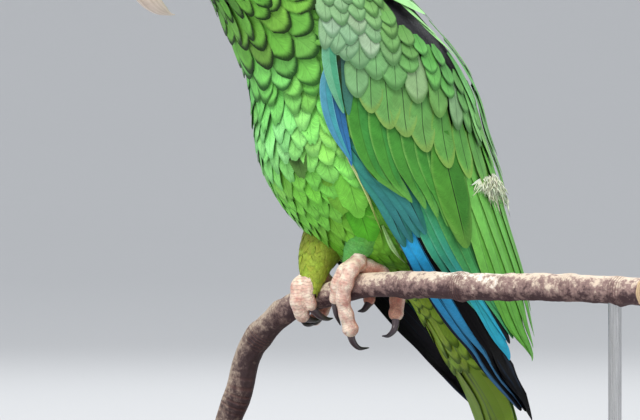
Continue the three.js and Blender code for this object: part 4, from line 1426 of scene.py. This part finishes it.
def lay_edge(coat, edge, width, looks, end, count, **shape):
    """Lays a vane by its leading edge."""
    middle = along_edge(edge, width, shape["narrow"], shape.get("widest", 0.5), end, count)
    coat.lay([middle], width, looks, end=end, **shape)


def lay_run(coat, roots, tips, count, width, shaft, shape):
    """Lays a run of coverts whose roots and tips follow two curves."""
    share = np.linspace(0, 1, count)
    a, b, w = (spline(v)(share * (len(v) - 1)) for v in (roots, tips, width))
    coat.add(a, b, w[:, 0], covert_looks((a + 2 * b) / 3, shaft), **shape, **COVERT)


def add_wing(name, mirrored):
    """The flight feathers and the coverts of a folded wing, from the longest to the smallest."""
    flight = Coat(wing, None, mirrored)
    for group, end in ((PRIMARIES, 0.5), (SECONDARIES, 0.42), (TERTIALS, 0.3)):
        for edge, width, height, shaft_at, kind in group:
            curl = max(edge[-1][0] - CURL_FROM, 0) * CURL
            placing = dict(base=height, shaft_at=shaft_at, curl=curl)
            lay_edge(flight, edge, width, FLIGHT_LOOKS[kind], end, 9, **placing, **FLIGHT)

    coverts = Coat(wing, wing_unwrap, mirrored)
    for edge, base in PRIMARY_COVERTS:
        lay_edge(coverts, edge, 11, PRIMARY_COVERT, 0.8, 5, base=base, rise=0.4, twist=-0.3, **COVERT)
    for edge, base in GREATER_COVERTS:
        lay_edge(coverts, edge, 13, GREATER_COVERT, 0.6, 7, base=base, rise=1.1, twist=-0.45, **LONG_COVERT)
    last = [(5.0, 0.5)], [(7.9, 0.375)]
    coverts.add(*last, 17.5, LAST_COVERT, base=-0.2, rise=1.1, end=0.84, **LONG_COVERT)
    for run in MEDIAN_COVERTS:
        lay_run(coverts, *run)
    by_gap = covert_looks(np.array([(4.6, 0.72)]), 0.6)
    coverts.add([(3.4, 0.82)], [(5.0, 0.7)], 13, by_gap, base=-1.0, rise=1.1, end=0.95, **COVERT)
    add_lesser(coverts, not mirrored)
    add_scapulars(coverts)
    if not mirrored:
        add_mantle_edge(coverts)
    add_alula(coverts)
    flight_material = feather_material("plumage_flight_" + name, 0.1, 0.5)
    covert_material = feather_material("plumage_wing_" + name, 0.12, 0.55)
    return [
        (flight, "flight_" + name, flight_material, "plumage_wing"),
        (coverts, "coverts_" + name, covert_material, "plumage_wing"),
    ]


WING_WIDTH = 78  # of the folded wing, across its middle
LESSER_ROWS = 12
LESSER_PITCH, LESSER_LENGTH = 0.53, 1.35  # from row to row, and of a covert, in steps
LESSER = dict(
    base=-0.4, camber=0.45, end=0.92, rounded=0.3, twist=-0.2, rows=9, columns=9, thick=0.16, unruly=0.1,
)


def add_lesser(coverts, with_gap):
    """Lesser coverts: rows that climb from the median coverts towards the shoulder, round the gap if the
    wing has one. Those that would start in the gap are shorter and start narrow."""
    for k in range(1, LESSER_ROWS + 1):
        width = max(11.5 - 0.55 * k, 6)
        shares = np.arange(-0.01 + 0.04 * (k % 2), 0.97, 0.68 * width / WING_WIDTH)
        shares = shares + RANDOM.normal(0, 0.006, len(shares))
        slant = 3.4 * (shares - 0.12)
        step = 3.05 + slant - LESSER_PITCH * k - 0.9 * np.maximum(shares - 0.75, 0)
        step = step + RANDOM.normal(0, 0.05, len(shares))
        tips = pack(step, shares)
        roots = tips - pack(LESSER_LENGTH, -LESSER_LENGTH * lean(shares))
        middle = (roots + 2 * tips) / 3
        keep, short = step > 0.25, np.zeros(len(step), bool)
        if with_gap:
            keep &= ~in_gap(*tips.T) & ~in_gap(*middle.T)
            short = in_gap(*roots.T) | in_gap(*(2 * roots / 3 + tips / 3).T)
            roots[short] = (roots + tips)[short] / 2
        for some, narrow in ((keep & ~short, 0.6), (keep & short, 0.35)):
            if some.any():
                edge = smoothstep(tips[some][:, 1], 0.8, 0.95)
                looks = covert_looks(middle[some], 0.35)
                shape = dict(LESSER, rise=1.1 - 0.8 * edge, narrow=narrow)
                coverts.add(roots[some], tips[some], width, looks, **shape)


def add_scapulars(coverts):
    """The feathers that lap over the top of the wing from the back."""
    looks = look("#5a9c4c", "#8fd07c", "#1d4a1d", tip_band=0.3, side_band=0.6, shaft=0.3, vary=0.1)
    steps = [4.1, 4.8, 5.4, 6.0, 4.5, 5.2, 5.8, 3.5]
    shares = [0.9, 0.93, 0.9, 0.94, 0.8, 0.78, 0.84, 0.93]
    tips = pack(steps, shares)
    coverts.add(tips - (1.7, 0.0), tips, 9, looks, base=0.0, rise=0.9, twist=-0.25, end=0.8, **COVERT)


def add_mantle_edge(coverts):
    """The feather of the mantle over the gap and two narrow edges in it, in a pale green that holds a
    painted highlight of light from behind.
    """
    # Painted highlight: the mantle's green is brightened to pale mint, as if lit from behind.
    mantle = look("#8fd67c", "#b4eea0", "#5fae50", side_band=0.4, vary=0.03)
    coverts.add([(0.5, 0.5)], [(1.62, 0.84)], 10, mantle, base=0.8, rise=0.8, end=0.8, **COVERT)
    tips = np.array([(2.3, 0.76), (2.95, 0.82)])
    coverts.add(tips - (1.2, 0.12), tips, 3.2, mantle, base=0.2, rise=0.8, end=0.5, **COVERT)


ALULA = [  # leading edge, width, looks, height, end
    ([(1.5, 7), (3.4, 8.5), (4.6, 8)], 8, look("#2c2630", "#44806f", "#1c3a38"), -1.3, 0.6),
    ([(3.5, 3.5), (4.5, 4.3), (5.2, 3.2), (5.7, 1.4), (6.1, -0.1)], 6.2,
     look("#27506e", "#3a7ebc", "#27506e", side_band=0.3, shaft=0.4), -0.8, 0.42),
    ([(3.0, 2.4), (3.5, 0.3), (4.2, -0.5), (5.2, -0.2), (5.95, 0.6)], 7.2,
     look("#5aa0b0", "#4a90b4", "#80b8d4", "#449aa4", side_band=0.5, shaft=0.25), -0.3, 0.42),
    ([(1.6, -0.9), (2.6, -0.7), (3.2, 0.4), (3.9, 3), (4.55, 6)], 8,
     look("#6cae8c", "#68ac86", "#9cd0b4", "#4c9c78", side_band=0.3), 0.2, 0.5),
]


def add_alula(coverts):
    """The long feathers over the wrist, from the lowest to the topmost."""
    shape = dict(LONG_COVERT, rounded=0.14, narrow=0.75, rise=0.7)
    for edge, width, colours, base, end in ALULA:
        lay_edge(coverts, edge, width, dict(colours, vary=0.02), end, 6, base=base, **shape)


DOWN = dict(rows=8, columns=3, base=0.5, end=0.3, narrow=0.8, thick=0.1, camber=0.1, unruly=0.15)


def add_down():
    """Loose white down that shows between the last coverts and the tertials of the left wing."""
    coat = Coat(wing, wing_unwrap)
    count = 230
    share = np.clip(RANDOM.normal(0.8, 0.075, count), 0.66, 0.95)
    top = 5.95 + 0.5 * np.abs(share - 0.82) / 0.15 * 0.4 + RANDOM.uniform(0, 0.25, count)
    roots = pack(top, share)
    fall = RANDOM.uniform(0.15, 0.6, count) * (1 - 2.0 * np.abs(share - 0.78))
    fall = fall + 0.35 * RANDOM.uniform(0, 1, count) ** 4
    tips = roots + pack(fall, RANDOM.normal(-0.035, 0.045, count))
    looks = look("#e8eed2", "#f4fae2", "#ffffff", vary=0.06)
    width = RANDOM.uniform(0.4, 1.3, count)
    rise = RANDOM.uniform(0, 1.3, count)
    coat.add(roots, tips, width, looks, rise=rise, bow=RANDOM.normal(0, 0.012, count), **DOWN)
    material = feather_material("plumage_down_left", 0.1, 0.8, under=(0.2, rgb("#c8c8b8")))
    return [(coat, "down_left", material, "plumage_wing")]


# ---- tail ----
def tail_sheet(level):
    """A layer of the tail, at a level from the back (0) to the belly (1), over the station and the share of
    the half width."""

    def surface(station, share, lift=0):
        back, belly, half = BACK(station), BELLY(station), HALF(station)
        share = np.asarray(share)[..., None]
        down = belly - back
        curved = level + (0.5 - level) * 0.8 * share**2
        yz = back + down * curved - unit(down) * np.asarray(lift)[..., None]
        return np.concatenate([half * share, yz], -1)

    return surface


UPPER_TAIL = look(
    "#5c9a34", "#94cc5c", "#3c6420", "#5a8a30", shaft=0.6, side_band=0.3, tip_band=0.2, vary=0.05,
)
UNDER_TAIL = look("#94601f", "#8cb848", "#3a7464", "#7a8c2c", shaft=0.6, side_band=0.5, vary=0.05)
TAIL_ROOT, TAIL_TIP = 18.4, 24.0  # stations
TAIL_FEATHER = dict(
    base=0, rise=0, camber=0.25, thick=0.25, rows=22, columns=9, narrow=0.7, end=0.5, widest=0.55,
    rounded=0.14, unruly=0.02,
)


def add_tail():
    """Six pairs of tail feathers: three spread over the back of the folded tail and three under it."""
    coat = Coat(None, None)
    for under, level, looks in ((0, 0.02, UPPER_TAIL), (1, 0.78, UNDER_TAIL)):
        for far in range(3):
            coat.surface = tail_sheet(level + 0.1 * far)
            for side in (1, -1):
                root = (TAIL_ROOT, side * (0.15 + 0.18 * far))
                tip = (TAIL_TIP - 0.45 * far - 0.5 * under, side * (0.17 + 0.22 * far))
                twist = side * 0.3 * (1 - 2 * under)
                coat.add([root], [tip], 15, looks, twist=twist, **TAIL_FEATHER)
    material = feather_material("plumage_tail", 0.14, 0.55, under=(0.75, rgb("#86b03a")))
    return [(coat, "tail_feathers", material, "plumage_tail")]


# ---- thighs ----
# Colours high on the thigh and low, each from root to tip, then fringe, width, length and end of a feather.
THIGH_FEATHERS = {
    "left": (("#4c9030", "#6cbc4c"), ("#4c9444", "#74c468"), "#34701f", 7.5, 11, 0.8),
    "right": (("#74762c", "#8c903e"), ("#90a434", "#a8bc46"), "#5c6c24", 4.6, 9, 0.62),
}
THIGH_PITCH = 0.13  # from ring to ring, in steps of the thigh's path
THIGH_SPACING = 2.9  # from feather to feather in a ring
THIGH_SHAPE = dict(
    rows=7, columns=5, rounded=0.34, ragged=0.06, base=-0.7, rise=0.65, camber=0.25, thick=0.1, unruly=0.07,
    curl=-0.25,
)


def add_thigh(name, material):
    """Short feathers in rings round a thigh, longer at the top."""
    surface = tube(*THIGHS[name])
    high, foot, fringe, width, reach, end = THIGH_FEATHERS[name]
    length = len(THIGHS[name][0]) - 1
    roots = []
    for i, step in enumerate(np.arange(0.4, length - 0.05, THIGH_PITCH)):
        across = surface(np.array([step]), np.array([0.0])) - surface(np.array([step]), np.array([np.pi]))
        girth = norm(across)[0] / 2
        number = max(int(FULL_TURN * girth / THIGH_SPACING), 8)
        turn = (np.arange(number) + 0.5 * (i % 2)) / number * FULL_TURN
        roots.append(pack(step, turn))
    roots = np.concatenate(roots)
    roots += RANDOM.normal(0, 1, roots.shape) * (0.03, 0.05)
    coat = Coat(surface, lambda step, turn: pack((turn / FULL_TURN) % 1, step / length))
    reach = RANDOM.normal(reach, 0.8, len(roots)) * np.interp(roots[:, 0], [0.5, length], [1.15, 0.6])
    tips = coat.tips(roots, reach, RANDOM.normal(0, 0.12, len(roots)))
    low = smoothstep(roots[:, 0], 0.8, 2.2)[:, None]
    grounds = [rgb(a) * (1 - low) + rgb(b) * low for a, b in zip(high, foot)]
    base = look("#000000", fringe=fringe, tip_band=0.25, side_band=0.1, shaft=0.1, vary=0.07)
    looks = [tinted(base, *tones) for tones in zip(*grounds)]
    coat.add(roots, tips, width, looks, end=end, **THIGH_SHAPE)
    return [(coat, "coat_thigh_" + name, material, "plumage_thigh")]


# ---- claws, bill and eyes ----
def keratin(name, base, tip, grain, roughness):
    """Horn with long streaks and growth lines, from base to tip along the stored lie."""
    g = Graph(name)
    far, up, _ = g.stored("lie")
    streak = g.noise(g.join(g.times(far, 1.5), g.times(up, 9.0), 0.0), 1.0, detail=5.0)
    rings = g.noise(g.join(g.times(far, grain), g.times(up, 0.8), 0.0), 1.0, detail=4.0)
    colour = g.mix(g.smooth(far, 0.1, 0.95), base, tip)
    colour = g.mix(g.smooth(streak, 0.35, 0.7), colour, (0.72, 0.68, 0.64), "MULTIPLY")
    colour = g.mix(g.smooth(rings, 0.55, 0.75, 0.0, 0.5), colour, (0.8, 0.76, 0.7), "MULTIPLY")
    height = g.plus(rings, g.times(g.noise(g.place(), 2500.0), 0.2))
    rough = g.smooth(streak, 0.3, 0.7, roughness - 0.06, roughness + 0.08)
    return g.finish(colour, rough, height, 0.35, 0.0002)


def lie_of_rings(rings):
    """How far along and how far round each point of a closed loft is."""
    capped = 2
    far = np.clip((np.arange(len(rings) + 2 * capped) - capped) / (len(rings) - 1), 0, 1)
    around = np.linspace(0, 1, rings[0].shape[0], endpoint=False)
    far, around = grid(far, np.abs(around - 0.5) * 2)
    return pack(far, around, 0.0)


CLAW_GIRTHS = [0, 0.2, 0.6, 1], [1.9, 1.85, 1.25, 0.22]  # places along a claw, and its girths there
CLAW_ROOT = 0.35  # how much further back a claw starts than its path, as a share of the path's first step


def add_claws():
    material = keratin("claw_horn", rgb("#63555c"), rgb("#2c272e"), 30.0, 0.3)
    for foot in FEET_AT:
        for number, toe in enumerate(TOES[foot]):
            claw = np.array(toe[2], float)
            line = beside_foot([claw[0] + CLAW_ROOT * (claw[0] - claw[1]), *claw], foot)
            girths = np.interp(np.linspace(0, 1, len(line)), *CLAW_GIRTHS)
            rings = limb(line, girths, 26, 18, soft_ends=False, flat=0.82)
            points, quads = closed_loft(rings)
            node = f"claw_{number + 1}_{foot}"
            piece = mesh_piece("horn_" + node, placed(points), quads, material)
            store(piece.data, "lie", "FLOAT_VECTOR", lie_of_rings(rings))
            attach(piece, "root")
            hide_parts(node)


def bill_rings(stations, edge_below):
    """Rings along half of the bill, squared off on the side of the cutting edge."""
    top, under = (spline([row[i] for row in stations]) for i in (0, 1))
    half = spline([row[2] for row in stations])
    turns = circle(48)
    at_edge = np.sin(turns) < 0 if edge_below else np.sin(turns) > 0
    squared = np.where(at_edge, 0.42, 0.92)
    rings = []
    for step in np.linspace(-0.25, len(stations) - 1, 70):
        high, low = in_head(*top(step)), in_head(*under(step))
        middle, rise = (high + low) / 2, (high - low) / 2
        x = half(step)[0] * np.sign(np.cos(turns)) * np.abs(np.cos(turns)) ** squared
        rings.append(middle + np.sin(turns)[:, None] * rise + x[:, None] * np.array([1.0, 0, 0]))
    return rings


def add_bill():
    material = keratin("bill_horn", rgb("#e4d2bd"), rgb("#dccdc6"), 22.0, 0.34)
    for name, stations in (("bill_upper", BILL_UPPER), ("bill_lower", BILL_LOWER)):
        rings = bill_rings(stations, edge_below=name == "bill_upper")
        points, quads = closed_loft(rings)
        piece = mesh_piece("horn_" + name, placed(points), quads, material)
        store(piece.data, "lie", "FLOAT_VECTOR", lie_of_rings(rings))
        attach(piece, "root")
        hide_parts(name)


def eye_material():
    """A brown iris round a black pupil, by the angle from the middle of the pupil."""
    g = Graph("eye")
    angle, around, _ = g.stored("lie")
    rays = g.noise(g.join(g.times(around, 60.0), g.times(angle, 2.0), 0.0), 1.0, detail=4.0)
    iris = g.mix(g.smooth(rays, 0.3, 0.7), rgb("#43240f"), rgb("#8a5528"))
    iris = g.mix(g.smooth(angle, 0.5, 0.62, 0.7, 0.0), iris, rgb("#2a1408"))
    colour = g.mix(g.smooth(angle, 0.40, 0.44), (0.002, 0.002, 0.002), iris)
    colour = g.mix(g.smooth(angle, 0.84, 0.93), colour, rgb("#17100c"))
    return g.finish(colour, 0.05, Specular_IOR_Level=0.16)


def add_eyes():
    """The eyeballs, bulging a little at the front."""
    material = eye_material()
    rows, columns = 40, 64
    a, t = (m[..., None] for m in grid(np.linspace(0, np.pi, rows), circle(columns)))
    bulge = EYE["radius"] * (1 - 0.04 * np.cos(a))
    for name, side in (("eye_left", 1), ("eye_right", -1)):
        centre, axis, up = eye_axes(side)
        spoke = np.cos(t) * np.cross(axis, up) + np.sin(t) * up
        points = centre + bulge * (np.cos(a) * axis + np.maximum(np.sin(a), 1e-3) * spoke)
        points = points.reshape(-1, 3)
        quads = outward_faces(points, grid_quads(rows, columns, closed=True))
        piece = mesh_piece("ball_" + name, placed(points), quads, material)
        lie = np.concatenate([a, np.abs(t / np.pi - 1), 0 * a], -1)
        store(piece.data, "lie", "FLOAT_VECTOR", lie)
        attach(piece, "root")
        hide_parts(name)


# ---- perch and stand ----
# Knots: places along the branch, and how far they swell.
KNOTS = [(-48, 0.7), (-36, 0.8), (-24, 0.6), (40.5, 0.55), (67, 1.0), (89.5, 0.5), (120, 0.5), (142, 0.9)]
KNOT_LENGTH = 2.6
BARK, UNEVEN = 0.35, 0.45  # how thick the bark is over the branch, and how uneven
PALE_STRETCH = 74.0  # the middle of the palest bark, along the branch
HELD = (-16, -11), (32, 37)  # the feet hold the branch between these, where it is smooth


def bark_material():
    """Thin pale bark in patches over the top, darker and purplish below, ringed at the knots."""
    g = Graph("bark")
    along, up, cut = g.stored("lie")
    place = g.place()
    patches = g.noise(place, 90.0, detail=4.0)
    blotches = g.noise(place, 300.0, detail=6.0, roughness=0.7)
    grain = g.join(g.times(along, 0.35), g.times(up, 6.0), 0.0)
    grain = g.noise(grain, 1.0, detail=6.0, roughness=0.7)
    fine = g.noise(place, 650.0, detail=4.0, roughness=0.7)
    uneven = g.plus(g.smooth(blotches, 0.3, 0.7, -0.6, 0.6), g.smooth(fine, 0.3, 0.7, -0.35, 0.35))
    high = g.plus(up, g.plus(g.smooth(patches, 0.3, 0.7, -0.4, 0.4), uneven))
    colour = g.mix(g.smooth(high, -0.9, 0.15), rgb("#4c363a"), rgb("#9a7f7a"))
    colour = g.mix(g.smooth(high, 0.1, 0.95), colour, rgb("#e6d3c0"))
    in_stretch = g.smooth(g.size(g.minus(along, PALE_STRETCH)), 8.0, 24.0, 1.0, 0.0)
    colour = g.mix(g.times(g.smooth(high, 0.6, 1.2), in_stretch), colour, rgb("#fbf6ef"))
    low_end = g.times(g.smooth(along, -42.0, 8.0, 1.0, 0.0), 0.75)
    colour = g.mix(low_end, colour, g.mix(g.smooth(high, -0.6, 1.0), rgb("#3a2a2c"), rgb("#9b8a7a")))
    rings = g.maths("PINGPONG", g.maths("DIVIDE", along, 1.1), 0.5)
    near = None
    for place_along, size in KNOTS:
        one = g.smooth(g.size(g.minus(along, float(place_along))), 1.0, 4.5, size, 0.0)
        near = one if near is None else g.maths("MAXIMUM", near, one)
    lines = g.times(g.smooth(rings, 0.05, 0.3, 1.0, 0.0), near)
    colour = g.mix(g.times(lines, 0.55), colour, rgb("#6a4640"))
    colour = g.mix(g.smooth(grain, 0.5, 0.72, 0.0, 0.5), colour, (0.55, 0.47, 0.45), "MULTIPLY")
    year = g.smooth(g.maths("PINGPONG", g.times(cut, 4.5), 0.5), 0.1, 0.4)
    wood = g.mix(year, rgb("#caa982"), rgb("#e0c49c"))
    colour = g.mix(g.smooth(cut, 0.001, 0.01), colour, wood)
    height = g.plus(g.times(fine, 0.6), g.minus(g.times(grain, 0.8), lines))
    return g.finish(colour, 0.78, height, 0.7, 0.0005)


def bark_height(at, turn):
    """Uneven bark by the place along the branch and the turn round it."""
    spots = pack(at * 0.11, 1.9 * np.cos(turn), 1.9 * np.sin(turn)).reshape(-1, 3)
    return np.array([noise.fractal(Vector(spot), 0.8, 2.0, 4) for spot in spots]).reshape(at.shape)


def add_perch():
    """The branch's bark, smooth where the feet hold it and swollen at the knots, with its cut ends."""
    places = np.linspace(BRANCH[0][0], BRANCH[-1][0], 420)
    steps = np.interp(places, [at for at, _ in BRANCH], np.arange(len(BRANCH)))
    centres = spline([on_branch(0, up, at) for at, up in BRANCH])(steps)
    ahead = unit(np.gradient(centres, axis=0))
    side = unit(np.cross(ahead, UP))
    over = np.cross(side, ahead)
    at, turn = grid(places, circle(48))
    held = hump(at, *HELD)
    swell = 0
    for where, size in KNOTS:
        ring = size * np.exp(-(((at - where) / KNOT_LENGTH) ** 2))
        swell = swell + ring * (0.7 + 0.5 * np.sin(turn + where))
    radius = BRANCH_RADIUS + (1 - 0.8 * held) * (BARK + swell + UNEVEN * bark_height(at, turn))
    spoke = np.cos(turn)[..., None] * side[:, None] + np.sin(turn)[..., None] * over[:, None]
    shell, quads = closed_loft(centres[:, None] + radius[..., None] * spoke)
    lie = pack(at, np.sin(turn), 0.0)
    cap = lambda row, share: pack(row[:, 0], row[:, 1], share)
    start = [cap(lie[0], 0.01), cap(lie[0], 0.5)]
    end = [cap(lie[-1], 0.5), cap(lie[-1], 0.01)]
    perch = mesh_piece("perch_bark", placed(shell), quads, bark_material())
    store(perch.data, "lie", "FLOAT_VECTOR", np.concatenate([start, lie, end]))
    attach(perch, "root")
    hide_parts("perch")


def stand_materials():
    """Dark polished wood and brushed steel."""
    g = Graph("stand_wood")
    stretched = lambda *scales: g.join(*(g.times(p, k) for p, k in zip(g.parts(g.place()), scales)))
    grain = g.noise(stretched(12.0, 160.0, 160.0), 1.0, detail=6.0)
    colour = g.mix(g.smooth(grain, 0.3, 0.7), rgb("#3d2a1f"), rgb("#6a4a35"))
    wood = g.finish(colour, g.smooth(grain, 0.3, 0.7, 0.3, 0.45), grain, 0.15)
    g = Graph("stand_steel")
    brushed = g.noise(stretched(3000.0, 3000.0, 60.0), 1.0)
    colour = g.mix(g.smooth(brushed, 0.3, 0.7), (0.5, 0.5, 0.5), (0.62, 0.62, 0.63))
    steel = g.finish(colour, g.smooth(brushed, 0.3, 0.7, 0.22, 0.36), brushed, 0.1, Metallic=1.0)
    return wood, steel


def add_stand():
    """The stand's own nodes, in wood and steel."""
    wood, steel = stand_materials()
    for node, material in (("stand_base", wood), ("stand_rod_1", steel), ("stand_rod_2", steel)):
        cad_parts[node].data.materials.clear()
        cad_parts[node].data.materials.append(material)


# ---- the whole ----
add_camera()
add_studio()
coats = add_body_coat() + add_tail()
thigh_material = feather_material("plumage_thigh_barbs", 0.2, 0.65)
coats += add_thigh("left", thigh_material) + add_thigh("right", thigh_material)
coats += add_wing("left", mirrored=False) + add_down() + add_wing("right", mirrored=True)
add_skin(coats)
for coat, name, material, slot in coats:
    coat.piece(name, material, slot)
add_claws()
add_bill()
add_eyes()
add_perch()
add_stand()
